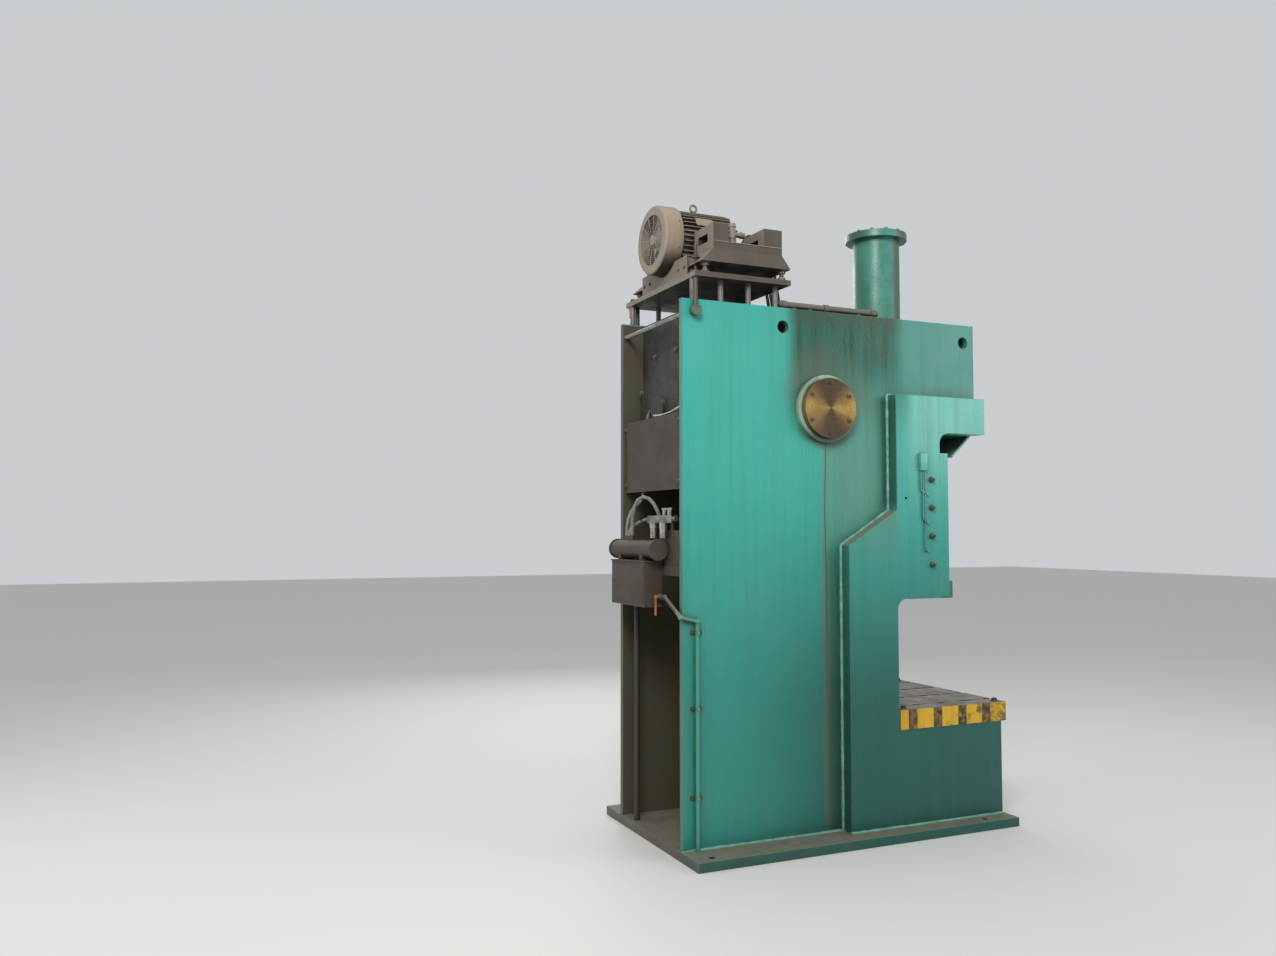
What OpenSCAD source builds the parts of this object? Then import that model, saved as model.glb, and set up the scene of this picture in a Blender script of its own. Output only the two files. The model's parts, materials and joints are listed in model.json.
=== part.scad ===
// Gap-frame mechanical stamping press with a front-to-back crankshaft.
// Origin: centre of the four anchor holes, on the floor plane of the pit.
// +Z is up, the operator stands at -Y, the motor fan faces +Y.

/* [Frame] */
// Outer width over the two side plates
frame_w = 1000; // [900:10:1200]
// Thickness of a side plate
side_t = 40; // [25:1:50]
// Thickness of a front slab welded outside a side plate
slab_t = 95; // [60:5:120]
// Height of the side plates' top edge above the pit floor
crown_z = 3580; // [3450:10:3900]
// Rear edge of the side plates
rear_y = 1200; // [1100:10:1400]
// Front edge of the crown
crown_front_y = -1190; // [-1300:10:-1150]
// Front edge of the slabs' head
head_front_y = -1200; // [-1320:10:-1160]
// Top edge of the slabs' head
head_top_z = 3030; // [2950:10:3200]
// Underside of the head
notch_z = 2773; // [2700:1:2820]
// Front edge of the frame beside the slide guides
neck_y = -790; // [-800:1:-780]
// Corner radius under the head
notch_r = 80; // [20:5:120]
// Rear wall of the throat
throat_y = -412; // [-450:1:-360]
// Top of the throat
throat_top_z = 1607; // [1560:1:1615]
// Corner radius of the throat
throat_r = 70; // [20:5:120]
// Front edge of the lower jaw
jaw_y = -1310; // [-1400:10:-1200]
// Height of the bed, which carries the bolster
bed_z = 715; // [650:5:760]
// Rear edge of a slab above its step
slab_up_y = -410; // [-500:10:-300]
// Rear edge of a slab below its step
slab_low_y = -10; // [-150:10:60]
// Top of the slanted step in a slab's rear edge
step_up_z = 2220; // [2100:10:2400]
// Bottom of the slanted step
step_low_z = 1980; // [1800:10:2050]
// Radius of the lifting holes
lift_r = 43.5; // [20:0.5:60]
// Height of the lifting holes
lift_z = 3450; // [3380:5:3480]
// Place of the rear lifting hole
lift_rear_y = 440; // [300:10:600]
// Place of the front lifting hole
lift_front_y = -1095; // [-1100:5:-1000]
// Radius of the oil hole in each slab
oil_hole_r = 10; // [4:1:16]
// Thickness of the welded cross plates
web_t = 40; // [25:1:50]

/* [Base] */
// Thickness of the base plate
base_t = 60; // [40:5:80]
// Width of the base plate
base_w = 1470; // [1400:10:1700]
// Distance of the anchor holes from the base plate's side edges
anchor_edge = 70; // [60:5:80]
// Distance between the anchor holes along the press
anchor_y = 2160; // [1900:10:2300]
// Radius of an anchor hole
anchor_r = 23; // [15:1:30]

/* [Bolster] */
// Width of the bolster plate
bolster_w = 1200; // [1100:10:1260]
// Depth of the bolster plate
bolster_d = 930; // [900:10:1000]
// Thickness of the bolster plate
bolster_t = 135; // [100:5:160]
// Width of a T-slot's mouth
tslot_w = 28; // [18:1:36]
// Width of a T-slot's foot
tslot_foot_w = 46; // [40:1:60]
// Depth of a T-slot's mouth
tslot_mouth_h = 26; // [16:1:36]
// Height of a T-slot's foot
tslot_foot_h = 20; // [12:1:26]
// Distance between T-slots
tslot_pitch = 300; // [260:10:320]

/* [Drive] */
// Height of the crankshaft
shaft_z = 2909; // [2880:1:2940]
// Crank radius, half of the stroke
crank_r = 100; // [60:5:105]
// Radius of the crankpin
pin_r = 100; // [80:1:105]
// Radius of the crankshaft in its main bearings
main_r = 85; // [70:1:95]
// Radius of the crankshaft in the front and flywheel bearings
nose_r = 75; // [60:1:80]
// Radius of the crankshaft in the rear bearing
tail_r = 60; // [40:1:70]
// Thickness of a bronze bush
bush_t = 15; // [8:1:20]
// Radial running clearance
run_gap = 0.06; // [0.02:0.01:0.1]
// Length of the crankpin
pin_len = 220; // [180:5:230]
// Thickness of a crank web
crank_web_t = 80; // [60:5:90]
// Radius of a crank web
crank_web_r = 215; // [207:1:225]
// Length of the connecting rod, crankpin to ball
rod_len = 810; // [790:5:830]
// Radius of the rod's ball end
ball_r = 65; // [50:1:68]
// Radius of the rod's shank
shank_r = 60; // [45:1:62]
// Outer radius of the rod's big end
big_end_r = 145; // [140:1:148]
// Radius of the flywheel
fly_r = 430; // [380:5:440]
// Width of the flywheel rim
fly_w = 150; // [140:5:160]
// Depth of the flywheel rim
fly_rim = 75; // [50:5:100]
// Thickness of the flywheel web
fly_web_t = 36; // [20:2:50]
// Radius of the flywheel hub
fly_hub_r = 135; // [110:5:150]
// Place of the flywheel and the belts along the press
belt_y = 350; // [345:1:355]
// Pitch radius of the motor pulley
pulley_r = 110; // [90:5:140]
// Number of V-belts
belt_count = 4; // [2:1:4]
// Distance between belts
belt_pitch = 30; // [26:1:32]
// Width of a belt at its back
belt_w = 20; // [16:1:22]
// Height of a belt
belt_h = 14; // [10:1:16]
// Place of the bearing saddle's trunnions
trunnion_y = 110; // [95:1:112]
// Radius of a trunnion
trunnion_r = 150; // [120:5:160]
// Radius of the bronze trunnion cap
cap_r = 205; // [195:1:215]
// Thickness of the trunnion cap
cap_t = 45; // [25:1:50]
// Radius of the ring under the cap
ring_r = 230; // [218:1:250]
// Thickness of the ring
ring_t = 30; // [15:1:40]
// Radius of the bolt circle on the cap
cap_bolt_pcd_r = 172; // [168:1:180]
// Radius of a cap bolt
cap_bolt_r = 8; // [5:1:10]

/* [Slide] */
// Place of the slide's centre along the press
ram_y = -890; // [-895:1:-885]
// Width of the slide body
slide_w = 670; // [660:5:680]
// Depth of the slide body
slide_d = 340; // [320:5:345]
// Underside of the slide at top dead centre
slide_z = 1585; // [1560:5:1600]
// Height of the slide
slide_h = 915; // [880:5:930]
// Height of the slide's bottom flange
flange_h = 125; // [80:5:140]
// Reach of the flange in front of the body
flange_reach = 50; // [20:5:80]
// Reach of a guide ear outside the body
ear_reach = 95; // [60:5:100]
// Depth of a guide ear
ear_d = 90; // [60:5:95]
// Sliding clearance of the slide
slide_gap = 0.3; // [0.2:0.05:0.4]
// Thickness of a front gib plate
gib_t = 70; // [40:5:80]
// Drop of the gib plates' top below the head
gib_drop = 146; // [120:1:200]
// Bottom of the gib plates
gib_low_z = 1620; // [1600:5:1650]
// Radius of the die shank hole
shank_hole_r = 32; // [20:1:40]
// Depth of the die shank hole
shank_hole_h = 120; // [80:5:130]

/* [Motor] */
// Shaft height of the motor above its feet
motor_h = 225; // [220:1:232]
// Radius of the fan cowl
cowl_r = 238; // [232:1:242]
// Length of the fan cowl
cowl_len = 145; // [135:5:160]
// Radius of the stator frame under its fins
stator_r = 192; // [180:1:195]
// Height of a cooling fin
fin_h = 30; // [10:1:32]
// Front end of the stator frame
stator_front_y = 640; // [600:5:660]

/* [Motor platform] */
// Width of the motor base plate
plate_w = 1118; // [1100:2:1160]
// Gap between the crown and the motor base plate
plate_gap = 140; // [110:1:150]
// Thickness of the motor base plate
plate_t = 34; // [25:1:40]
// Gap between the base plate and the motor tray
tray_gap = 72; // [60:1:90]
// Width of the tray at its underside
tray_w = 1116; // [1100:2:1160]
// Width of the tray at its top edge
tray_top_w = 1040; // [1020:2:1080]
// Height of the tray
tray_h = 148; // [130:1:160]
// Height of the tray's sloping skirt
skirt_h = 100; // [80:1:120]
// Thickness of the tray's floor
tray_floor_t = 30; // [20:1:40]
// Width of the motor well in the tray
well_w = 500; // [490:5:520]
// Height of the box brackets on the tray
bracket_h = 122; // [100:1:140]
// Radius of a post under the base plate
post_r = 18; // [12:1:19]

/* [Air] */
// Radius of the air tank
tank_r = 172.5; // [140:0.5:180]
// Height of the air tank's body
tank_h = 695; // [600:1:720]
// Radius of the tank's cap
tank_cap_r = 228; // [210:0.5:240]
// Thickness of the tank's cap
tank_cap_t = 50; // [30:1:60]
// Radius of the rear air receiver
receiver_r = 61.5; // [45:0.5:70]
// Length of the rear air receiver
receiver_len = 682; // [500:1:700]
// Height of the rear air receiver
receiver_z = 1953; // [1945:1:1965]
// Radius of the grey hoses
hose_r = 13; // [8:1:16]
// Radius of the side air pipe
pipe_r = 13; // [8:1:16]
// Radius of the pipe on the crown's edge
crown_pipe_r = 22; // [16:1:24]

/* [Hidden] */
$fn = 96;

teal = [0.29, 0.68, 0.62];
dull_teal = [0.25, 0.5, 0.46];
pale_green = [0.62, 0.78, 0.66];
platform_brown = [0.42, 0.38, 0.35];
motor_beige = [0.62, 0.57, 0.51];
bronze = [0.62, 0.5, 0.32];
dark_iron = [0.24, 0.25, 0.24];
bare_steel = [0.62, 0.63, 0.64];
rubber = [0.1, 0.1, 0.1];
hose_grey = [0.45, 0.45, 0.43];

seat_gap = 0.05;
anchor_x = base_w - 2 * anchor_edge;
half_w = frame_w / 2;
inner_w = frame_w - 2 * side_t;
inner_x = inner_w / 2;
slab_x = half_w + slab_t;
throat_mid_z = (bed_z + throat_top_z) / 2;
bolster_z = bed_z + bolster_t;
bolster_back_y = throat_y - 8;

slide_top_z = slide_z + slide_h;
gib_top_z = notch_z - gib_drop;
slide_front_y = ram_y - slide_d / 2;
slide_back_y = ram_y + slide_d / 2;
ball_z = shaft_z + crank_r - rod_len;
pin_z = shaft_z + crank_r;
pin_back_y = ram_y + pin_len / 2;
pin_front_y = ram_y - pin_len / 2;
crank_back_y = pin_back_y + crank_web_t;
crank_front_y = pin_front_y - crank_web_t;
rod_w = pin_len - 10;

saddle_r = 160;
saddle_bore_r = main_r + bush_t;
main_plate_t = 60;
main_boss_r = 150;
main_boss_len = 50;
main_plate_y = crank_back_y + 10 + main_boss_len;
front_boss_r = 130;
front_boss_y = crank_front_y - 10;
front_plate_in_y = crown_front_y + web_t;
cover_plate_t = 40;
cover_y = rear_y - 160;
cover_plate_y = cover_y - cover_plate_t;
cover_r = 450;
cover_dish = 60;
cover_hub_y = cover_y + cover_dish + 45;
union_x = 120;
union_r = 17;
union_y = cover_hub_y - union_r;
brake_gap = 12;
brake_r = 300;
brake_t = 22;
fly_hub_len = 150;
fly_back_y = belt_y + fly_hub_len / 2;
fly_front_y = belt_y - fly_hub_len / 2;
crank_tail_y = cover_y + 50;
crank_nose_y = crown_front_y - 25;

plate_z = crown_z + plate_gap;
tray_z = plate_z + plate_t + tray_gap;
tray_top_z = tray_z + tray_h;
feet_z = tray_z + tray_floor_t;
motor_z = feet_z + motor_h;
plate_front_y = 412;
plate_rear_y = rear_y - 68;
tray_front_y = plate_front_y;
tray_rear_y = rear_y - 118;
tray_slope_front = 44;
tray_slope_rear = 104;
tray_top_x = tray_top_w / 2;
cowl_rear_y = rear_y - 15;
cowl_front_y = cowl_rear_y - cowl_len;
tank_y = -706;
tank_top_z = crown_z + tank_h;
post_pitch = 208;
post_ys = [for (k = [3 : -1 : 0]) plate_rear_y - post_r - 1 - k * post_pitch];
post_x = half_w - side_t / 2;
jack_edge = 45;
jack_ys = [tray_front_y + jack_edge, tray_rear_y - jack_edge];
jack_x = tray_w / 2 - jack_edge;
hook_r = 16;
lamp_r = 24;
lamp_x = plate_w / 2 - lamp_r;
lamp_y = plate_rear_y - lamp_r - 7;

receiver_y = 1262;
receiver_x = 66;
rail_z = 1786;
rail_y = 1060;
hose_foot_z = 2044;
rod_lug_x = big_end_r - 3;

// Shapes shared by several pieces

// A block between two corners
module block(x0, x1, y0, y1, z0, z1) {
    translate([x0, y0, z0]) cube([x1 - x0, y1 - y0, z1 - z0]);
}

// A round bar along X
module along_x(x0, x1, y, z, r) {
    translate([x0, y, z]) rotate([0, 90, 0]) cylinder(h = x1 - x0, r = r);
}

// A round bar along Y
module along_y(y0, y1, x, z, r) {
    translate([x, y1, z]) rotate([90, 0, 0]) cylinder(h = y1 - y0, r = r);
}

// A round bar along Z
module along_z(z0, z1, x, y, r) {
    translate([x, y, z0]) cylinder(h = z1 - z0, r = r);
}

// A round bar between two points
module bar(p, q, r) {
    d = q - p;
    len = norm(d);
    translate(p) rotate([0, acos(d[2] / len), atan2(d[1], d[0])]) cylinder(h = len, r = r);
}

// A pipe through a list of points, with screwed ball elbows
module pipe_run(points, r) {
    for (i = [0 : len(points) - 2]) bar(points[i], points[i + 1], r);
    for (i = [1 : len(points) - 2]) translate(points[i]) sphere(r = 1.45 * r);
}

// A plate whose outline is drawn in Y and Z, extruded along X
module yz_plate(x0, t) {
    translate([x0, 0, 0]) rotate([90, 0, 90]) linear_extrude(height = t) children();
}

// A plate whose outline is drawn in X and Z, extruded along Y
module xz_plate(y0, t) {
    translate([0, y0 + t, 0]) rotate([90, 0, 0]) linear_extrude(height = t) children();
}

// A body turned about an axis along Y, its outline given as radius and place along Y
module turned_y(x, z) {
    translate([x, 0, z]) rotate([-90, 0, 0]) rotate_extrude() children();
}

// A rectangle with four round corners
module rounded_rect(x0, y0, x1, y1, r) {
    translate([x0 + r, y0]) square([x1 - x0 - 2 * r, y1 - y0]);
    translate([x0, y0 + r]) square([x1 - x0, y1 - y0 - 2 * r]);
    for (x = [x0 + r, x1 - r], y = [y0 + r, y1 - r]) translate([x, y]) circle(r = r);
}

// A hexagon nut or bolt head along Z
module hex_z(z0, h, x, y, r) {
    translate([x, y, z0]) cylinder(h = h, r = r, $fn = 6);
}

// A swept hose through a list of points
function unit(v) = v / norm(v);
function hose_way(p, i) = unit(p[min(i + 1, len(p) - 1)] - p[max(i - 1, 0)]);
function hose_side(t) = unit(cross(t, abs(t[0]) < 0.9 ? [1, 0, 0] : [0, 1, 0]));
function hose_ring(p, i, r, n) =
    let (t = hose_way(p, i), a = hose_side(t), b = cross(t, a))
    [for (k = [0 : n - 1]) p[i] + r * (cos(360 * k / n) * a + sin(360 * k / n) * b)];
module hose(p, r) {
    n = 10;
    last = len(p) - 1;
    rings = [for (i = [0 : last]) each hose_ring(p, i, r, n)];
    sides = [for (i = [0 : last - 1], k = [0 : n - 1])
        [i * n + k, i * n + (k + 1) % n, (i + 1) * n + (k + 1) % n, (i + 1) * n + k]];
    ends = [[for (k = [n - 1 : -1 : 0]) k], [for (k = [0 : n - 1]) last * n + k]];
    polyhedron(points = rings, faces = [for (f = concat(sides, ends)) [for (j = [len(f) - 1 : -1 : 0]) f[j]]]);
}

// Frame

module throat_cuts() {
    out_y = jaw_y - 400;
    rounded_rect(out_y, bed_z, throat_y, throat_top_z, throat_r);
    translate([out_y, bed_z]) square([throat_y - out_y, throat_mid_z - bed_z]);
    rounded_rect(out_y, throat_mid_z, neck_y, notch_z, notch_r);
}

module side_outline() {
    difference() {
        polygon([[rear_y, base_t], [rear_y, crown_z], [crown_front_y, crown_z],
            [crown_front_y, throat_mid_z], [jaw_y, throat_mid_z], [jaw_y, base_t]]);
        throat_cuts();
        for (y = [lift_rear_y, lift_front_y]) translate([y, lift_z]) circle(r = lift_r);
        translate([trunnion_y, shaft_z]) circle(r = trunnion_r + seat_gap);
    }
}

module slab_outline() {
    difference() {
        polygon([[slab_low_y, base_t], [slab_low_y, step_low_z], [slab_up_y, step_up_z],
            [slab_up_y, head_top_z], [head_front_y, head_top_z], [head_front_y, throat_mid_z],
            [jaw_y, throat_mid_z], [jaw_y, base_t]]);
        throat_cuts();
        translate([slab_up_y - 80, step_up_z + 85]) circle(r = oil_hole_r);
    }
}

module base_plate() {
    color(dull_teal) difference() {
        block(-base_w / 2, base_w / 2, jaw_y - 20, rear_y + 10, 0, base_t);
        for (x = [-anchor_x / 2, anchor_x / 2], y = [-anchor_y / 2, anchor_y / 2])
            along_z(-1, base_t + 1, x, y, anchor_r);
    }
}

module left_side_plate() {
    color(teal) yz_plate(-half_w, side_t) side_outline();
}

module right_side_plate() {
    color(teal) yz_plate(inner_x, side_t) side_outline();
}

module left_front_slab() {
    color(teal) yz_plate(-slab_x, slab_t) slab_outline();
}

module right_front_slab() {
    color(teal) yz_plate(half_w, slab_t) slab_outline();
}

module crown_top_plate() {
    color(teal) difference() {
        block(-inner_x, inner_x, front_plate_in_y, -300, crown_z - web_t, crown_z);
        along_z(crown_z - web_t - 1, crown_z + 1, 0, tank_y, 24);
    }
}

module crown_front_plate() {
    color(teal) difference() {
        union() {
            block(-inner_x, inner_x, crown_front_y, front_plate_in_y, notch_z, crown_z);
            along_y(front_plate_in_y, front_boss_y, 0, shaft_z, front_boss_r);
        }
        along_y(crown_front_y - 1, front_boss_y + 1, 0, shaft_z, nose_r + bush_t);
    }
}

module crown_front_hood() {
    sheet_t = 10;
    end_y = -1021;
    end_z = notch_z - 161;
    color(teal) yz_plate(-inner_x, inner_w)
        polygon([[crown_front_y, notch_z], [end_y, end_z], [end_y + sheet_t, end_z + sheet_t],
            [crown_front_y + 2 * sheet_t, notch_z]]);
}

module main_bearing_plate() {
    plate_low_z = shaft_z - 410;
    color(dull_teal) difference() {
        union() {
            block(-inner_x, inner_x, main_plate_y, main_plate_y + main_plate_t, plate_low_z, crown_z - web_t);
            along_y(main_plate_y - main_boss_len, main_plate_y, 0, shaft_z, main_boss_r);
        }
        along_y(main_plate_y - main_boss_len - 1, main_plate_y + main_plate_t + 1, 0, shaft_z, saddle_bore_r);
    }
}

module rear_bearing_plate() {
    low_z = shaft_z - cover_r - 10;
    color(dark_iron) difference() {
        block(-inner_x, inner_x, cover_plate_y, cover_y, low_z, crown_z - 10);
        along_y(cover_plate_y - 1, cover_y + 1, 0, shaft_z, tail_r + bush_t);
    }
}

module rear_cross_plate() {
    low_z = 2350;
    top_z = 2850;
    skin_t = 12;
    fold = 30;
    back_y = rear_y - 20;
    color(platform_brown) difference() {
        block(-inner_x, inner_x, back_y - fold, back_y, low_z, top_z);
        block(-inner_x - 1, inner_x + 1, back_y - fold - 1, back_y - skin_t, low_z + skin_t, top_z - skin_t);
    }
}

module throat_back_plate() {
    color(dull_teal)
        block(-inner_x, inner_x, throat_y, throat_y + web_t, base_t, throat_top_z + 100);
}

module bed_box() {
    top_t = 75;
    color(dull_teal) difference() {
        union() {
            block(-inner_x, inner_x, jaw_y, throat_y, bed_z - top_t, bed_z);
            block(-inner_x, inner_x, jaw_y, jaw_y + web_t, base_t, bed_z - top_t);
            block(-inner_x, inner_x, throat_y - web_t, throat_y, base_t, bed_z - top_t);
        }
        along_z(bed_z - top_t - 1, bed_z + 1, 0, ram_y, pad_hole_r);
    }
}

module rear_tie_rod() {
    color(bare_steel) along_x(-inner_x, inner_x, rear_y - 25, crown_z - 100, 16);
}

// Bed

pad_hole_r = 150;
pad_r = 140;
pad_t = 16;
pad_pin_r = 12;
pad_pin_at = 70;
cushion_r = 130;
cushion_wall = 25;
cushion_low_z = 250;
bed_low_z = bed_z - 75;

module pad_pins(r, z0, z1) {
    for (x = [-pad_pin_at, pad_pin_at], y = [-pad_pin_at, pad_pin_at])
        along_z(z0, z1, x, ram_y + y, r);
}

module tslot(x) {
    y0 = bolster_back_y - bolster_d - 1;
    y1 = bolster_back_y + 1;
    mouth_z = bolster_z - tslot_mouth_h;
    block(x - tslot_w / 2, x + tslot_w / 2, y0, y1, mouth_z - 1, bolster_z + 1);
    block(x - tslot_foot_w / 2, x + tslot_foot_w / 2, y0, y1, mouth_z - tslot_foot_h, mouth_z);
}

module bolster() {
    color("goldenrod") difference() {
        block(-bolster_w / 2, bolster_w / 2, bolster_back_y - bolster_d, bolster_back_y, bed_z, bolster_z);
        for (x = [-1.5, -0.5, 0.5, 1.5]) tslot(x * tslot_pitch);
        pad_pins(pad_pin_r + 1, bed_z - 1, bolster_z + 1);
    }
}

module cushion_cylinder() {
    color(dark_iron) difference() {
        union() {
            along_z(cushion_low_z, bed_low_z, 0, ram_y, cushion_r + cushion_wall);
            along_z(bed_low_z - 30, bed_low_z, 0, ram_y, cushion_r + 60);
        }
        along_z(cushion_low_z + cushion_wall, bed_low_z + 1, 0, ram_y, cushion_r);
    }
}

module cushion_pad() {
    pad_top_z = bed_z - 1;
    color(bare_steel) {
        along_z(bed_low_z - 160, bed_low_z - 90, 0, ram_y, cushion_r - run_gap);
        along_z(bed_low_z - 90, pad_top_z - pad_t, 0, ram_y, 50);
        along_z(pad_top_z - pad_t, pad_top_z, 0, ram_y, pad_r);
        pad_pins(pad_pin_r, pad_top_z, bolster_z);
    }
}

// Bearings and crank

module bearing_saddle() {
    color(dark_iron) difference() {
        union() {
            along_x(-half_w, half_w, trunnion_y, shaft_z, trunnion_r);
            along_x(-inner_x + 60, inner_x - 60, trunnion_y, shaft_z, saddle_r);
        }
        along_y(trunnion_y - saddle_r - 1, trunnion_y + saddle_r + 1, 0, shaft_z, saddle_bore_r);
    }
}

module bush(y0, y1, r) {
    difference() {
        along_y(y0, y1, 0, shaft_z, r + bush_t - seat_gap);
        along_y(y0 - 1, y1 + 1, 0, shaft_z, r + run_gap);
    }
}

module bearing_bushes() {
    color(bronze) {
        bush(crown_front_y, front_boss_y, nose_r);
        bush(main_plate_y - main_boss_len, main_plate_y + main_plate_t, main_r);
        bush(trunnion_y - 150, trunnion_y + 150, main_r);
        bush(cover_plate_y, cover_y, tail_r);
    }
}

module cap_bolt_places() {
    for (side = [-1, 1], a = [0 : 60 : 300])
        translate([0, trunnion_y + cap_bolt_pcd_r * sin(a), shaft_z + cap_bolt_pcd_r * cos(a)])
            scale_x(side) children();
}

module scale_x(side) {
    mirror([side < 0 ? 1 : 0, 0, 0]) children();
}

module trunnion_rings() {
    color(pale_green) difference() {
        for (side = [-1, 1]) scale_x(side) difference() {
            along_x(half_w, half_w + ring_t, trunnion_y, shaft_z, ring_r);
            along_x(half_w - 1, half_w + ring_t + 1, trunnion_y, shaft_z, trunnion_r - 10);
        }
        cap_bolt_places() along_x(half_w + 5, half_w + ring_t + 1, 0, 0, cap_bolt_r + 0.3);
    }
}

module trunnion_caps() {
    x0 = half_w + ring_t;
    color(bronze) difference() {
        for (side = [-1, 1]) scale_x(side) along_x(x0, x0 + cap_t, trunnion_y, shaft_z, cap_r);
        cap_bolt_places() along_x(x0 - 1, x0 + cap_t + 1, 0, 0, cap_bolt_r + 0.3);
    }
}

module cap_bolts() {
    x0 = half_w + ring_t + cap_t;
    color(dark_iron) cap_bolt_places() {
        along_x(half_w + 8, x0, 0, 0, cap_bolt_r);
        along_x(x0, x0 + 6, 0, 0, cap_bolt_r + 5);
    }
}

module crankshaft() {
    color(bare_steel) union() {
        along_y(crank_nose_y, crank_front_y, 0, shaft_z, nose_r);
        along_y(crank_front_y, pin_front_y, 0, shaft_z, crank_web_r);
        along_y(pin_front_y, pin_back_y, 0, pin_z, pin_r);
        along_y(pin_back_y, crank_back_y, 0, shaft_z, crank_web_r);
        along_y(crank_back_y, fly_front_y - 5, 0, shaft_z, main_r);
        along_y(fly_front_y - 5, fly_back_y + 70, 0, shaft_z, nose_r);
        along_y(fly_back_y + 70, crank_tail_y, 0, shaft_z, tail_r);
    }
}

module connecting_rod() {
    color(dark_iron) difference() {
        union() {
            along_y(ram_y - rod_w / 2, ram_y + rod_w / 2, 0, pin_z, big_end_r);
            block(-rod_lug_x, rod_lug_x, ram_y - 60, ram_y + 60, pin_z - 60, pin_z);
            along_z(ball_z, pin_z - pin_r, 0, ram_y, shank_r);
            translate([0, ram_y, ball_z]) sphere(r = ball_r);
        }
        block(-big_end_r - 1, big_end_r + 1, ram_y - rod_w, ram_y + rod_w, pin_z, pin_z + 2 * big_end_r);
        along_y(ram_y - rod_w, ram_y + rod_w, 0, pin_z, pin_r + run_gap);
    }
}

module rod_cap() {
    color(dark_iron) {
        difference() {
            union() {
                along_y(ram_y - rod_w / 2, ram_y + rod_w / 2, 0, pin_z, big_end_r);
                block(-rod_lug_x, rod_lug_x, ram_y - 60, ram_y + 60, pin_z, pin_z + 60);
            }
            block(-big_end_r - 1, big_end_r + 1, ram_y - rod_w, ram_y + rod_w, pin_z - 2 * big_end_r, pin_z);
            along_y(ram_y - rod_w, ram_y + rod_w, 0, pin_z, pin_r + run_gap);
        }
        for (x = [-124, 124], y = [-35, 35]) hex_z(pin_z + 60, 18, x, ram_y + y, 20);
    }
}

// Flywheel, pulley and belts

fly_pitch_r = fly_r - belt_h;
motor_pitch_r = pulley_r;
belt_drop = motor_z - shaft_z;
belt_angle = asin((fly_pitch_r - motor_pitch_r) / belt_drop);

// The groove and the belt share one section, seen along the belt
module belt_section(grow) {
    taper = 3;
    polygon([[0 - grow, -belt_w / 2 + taper - grow], [belt_h + 2 * grow, -belt_w / 2 - 1.5 * grow],
        [belt_h + 2 * grow, belt_w / 2 + 1.5 * grow], [0 - grow, belt_w / 2 - taper + grow]]);
}

module belt_places() {
    for (i = [0 : belt_count - 1])
        translate([0, belt_y + (i - (belt_count - 1) / 2) * belt_pitch, 0]) children();
}

module grooves(r, z) {
    belt_places() turned_y(0, z) translate([r, 0]) belt_section(0.4);
}

module flywheel() {
    color(dark_iron) difference() {
        turned_y(0, shaft_z) {
            translate([fly_r - fly_rim, belt_y - fly_w / 2]) square([fly_rim, fly_w]);
            translate([nose_r + run_gap, belt_y - fly_web_t / 2])
                square([fly_r - fly_rim - nose_r, fly_web_t]);
            translate([nose_r + run_gap, fly_front_y]) square([fly_hub_r - nose_r, fly_hub_len]);
        }
        for (a = [30 : 60 : 330])
            translate([245 * cos(a), 0, 245 * sin(a)]) along_y(belt_y - 60, belt_y + 60, 0, shaft_z, 52);
        grooves(fly_pitch_r, shaft_z);
    }
}

module motor_pulley() {
    color(dark_iron) difference() {
        union() {
            along_y(belt_y - fly_w / 2, belt_y + fly_w / 2, 0, motor_z, pulley_r + belt_h);
            along_y(belt_y + fly_w / 2, belt_y + fly_w / 2 + 20, 0, motor_z, 60);
        }
        along_y(belt_y - fly_w, belt_y + fly_w, 0, motor_z, motor_shaft_r + seat_gap);
        grooves(motor_pitch_r, motor_z);
    }
}

module belt_arc(r, z, from, sweep) {
    translate([0, 0, z]) rotate([90, 0, 0]) rotate([0, 0, from])
        rotate_extrude(angle = sweep) translate([r, 0]) belt_section(0);
}

module belt_span(side) {
    a = belt_angle;
    span = belt_drop * cos(a);
    foot = [fly_pitch_r * cos(a), 0, shaft_z + fly_pitch_r * sin(a)];
    scale_x(side) translate(foot) rotate([0, -a, 0]) linear_extrude(height = span) belt_section(0);
}

module v_belts() {
    a = belt_angle;
    color(rubber) belt_places() {
        belt_arc(fly_pitch_r, shaft_z, 180 - a, 180 + 2 * a);
        belt_arc(motor_pitch_r, motor_z, a, 180 - 2 * a);
        belt_span(1);
        belt_span(-1);
    }
}

module clutch_and_brake() {
    hub_r = 110;
    brake_y = cover_y + brake_gap;
    color(dark_iron) difference() {
        union() {
            along_y(fly_back_y + 5, fly_back_y + 60, 0, shaft_z, 200);
            along_y(brake_y, brake_y + brake_t, 0, shaft_z, brake_r);
            along_y(cover_y + 2, brake_y + brake_t + 18, 0, shaft_z, hub_r);
        }
        along_y(fly_back_y, fly_back_y + 70, 0, shaft_z, nose_r + seat_gap);
        along_y(fly_back_y + 70, cover_y + 200, 0, shaft_z, tail_r + seat_gap);
    }
}

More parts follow.
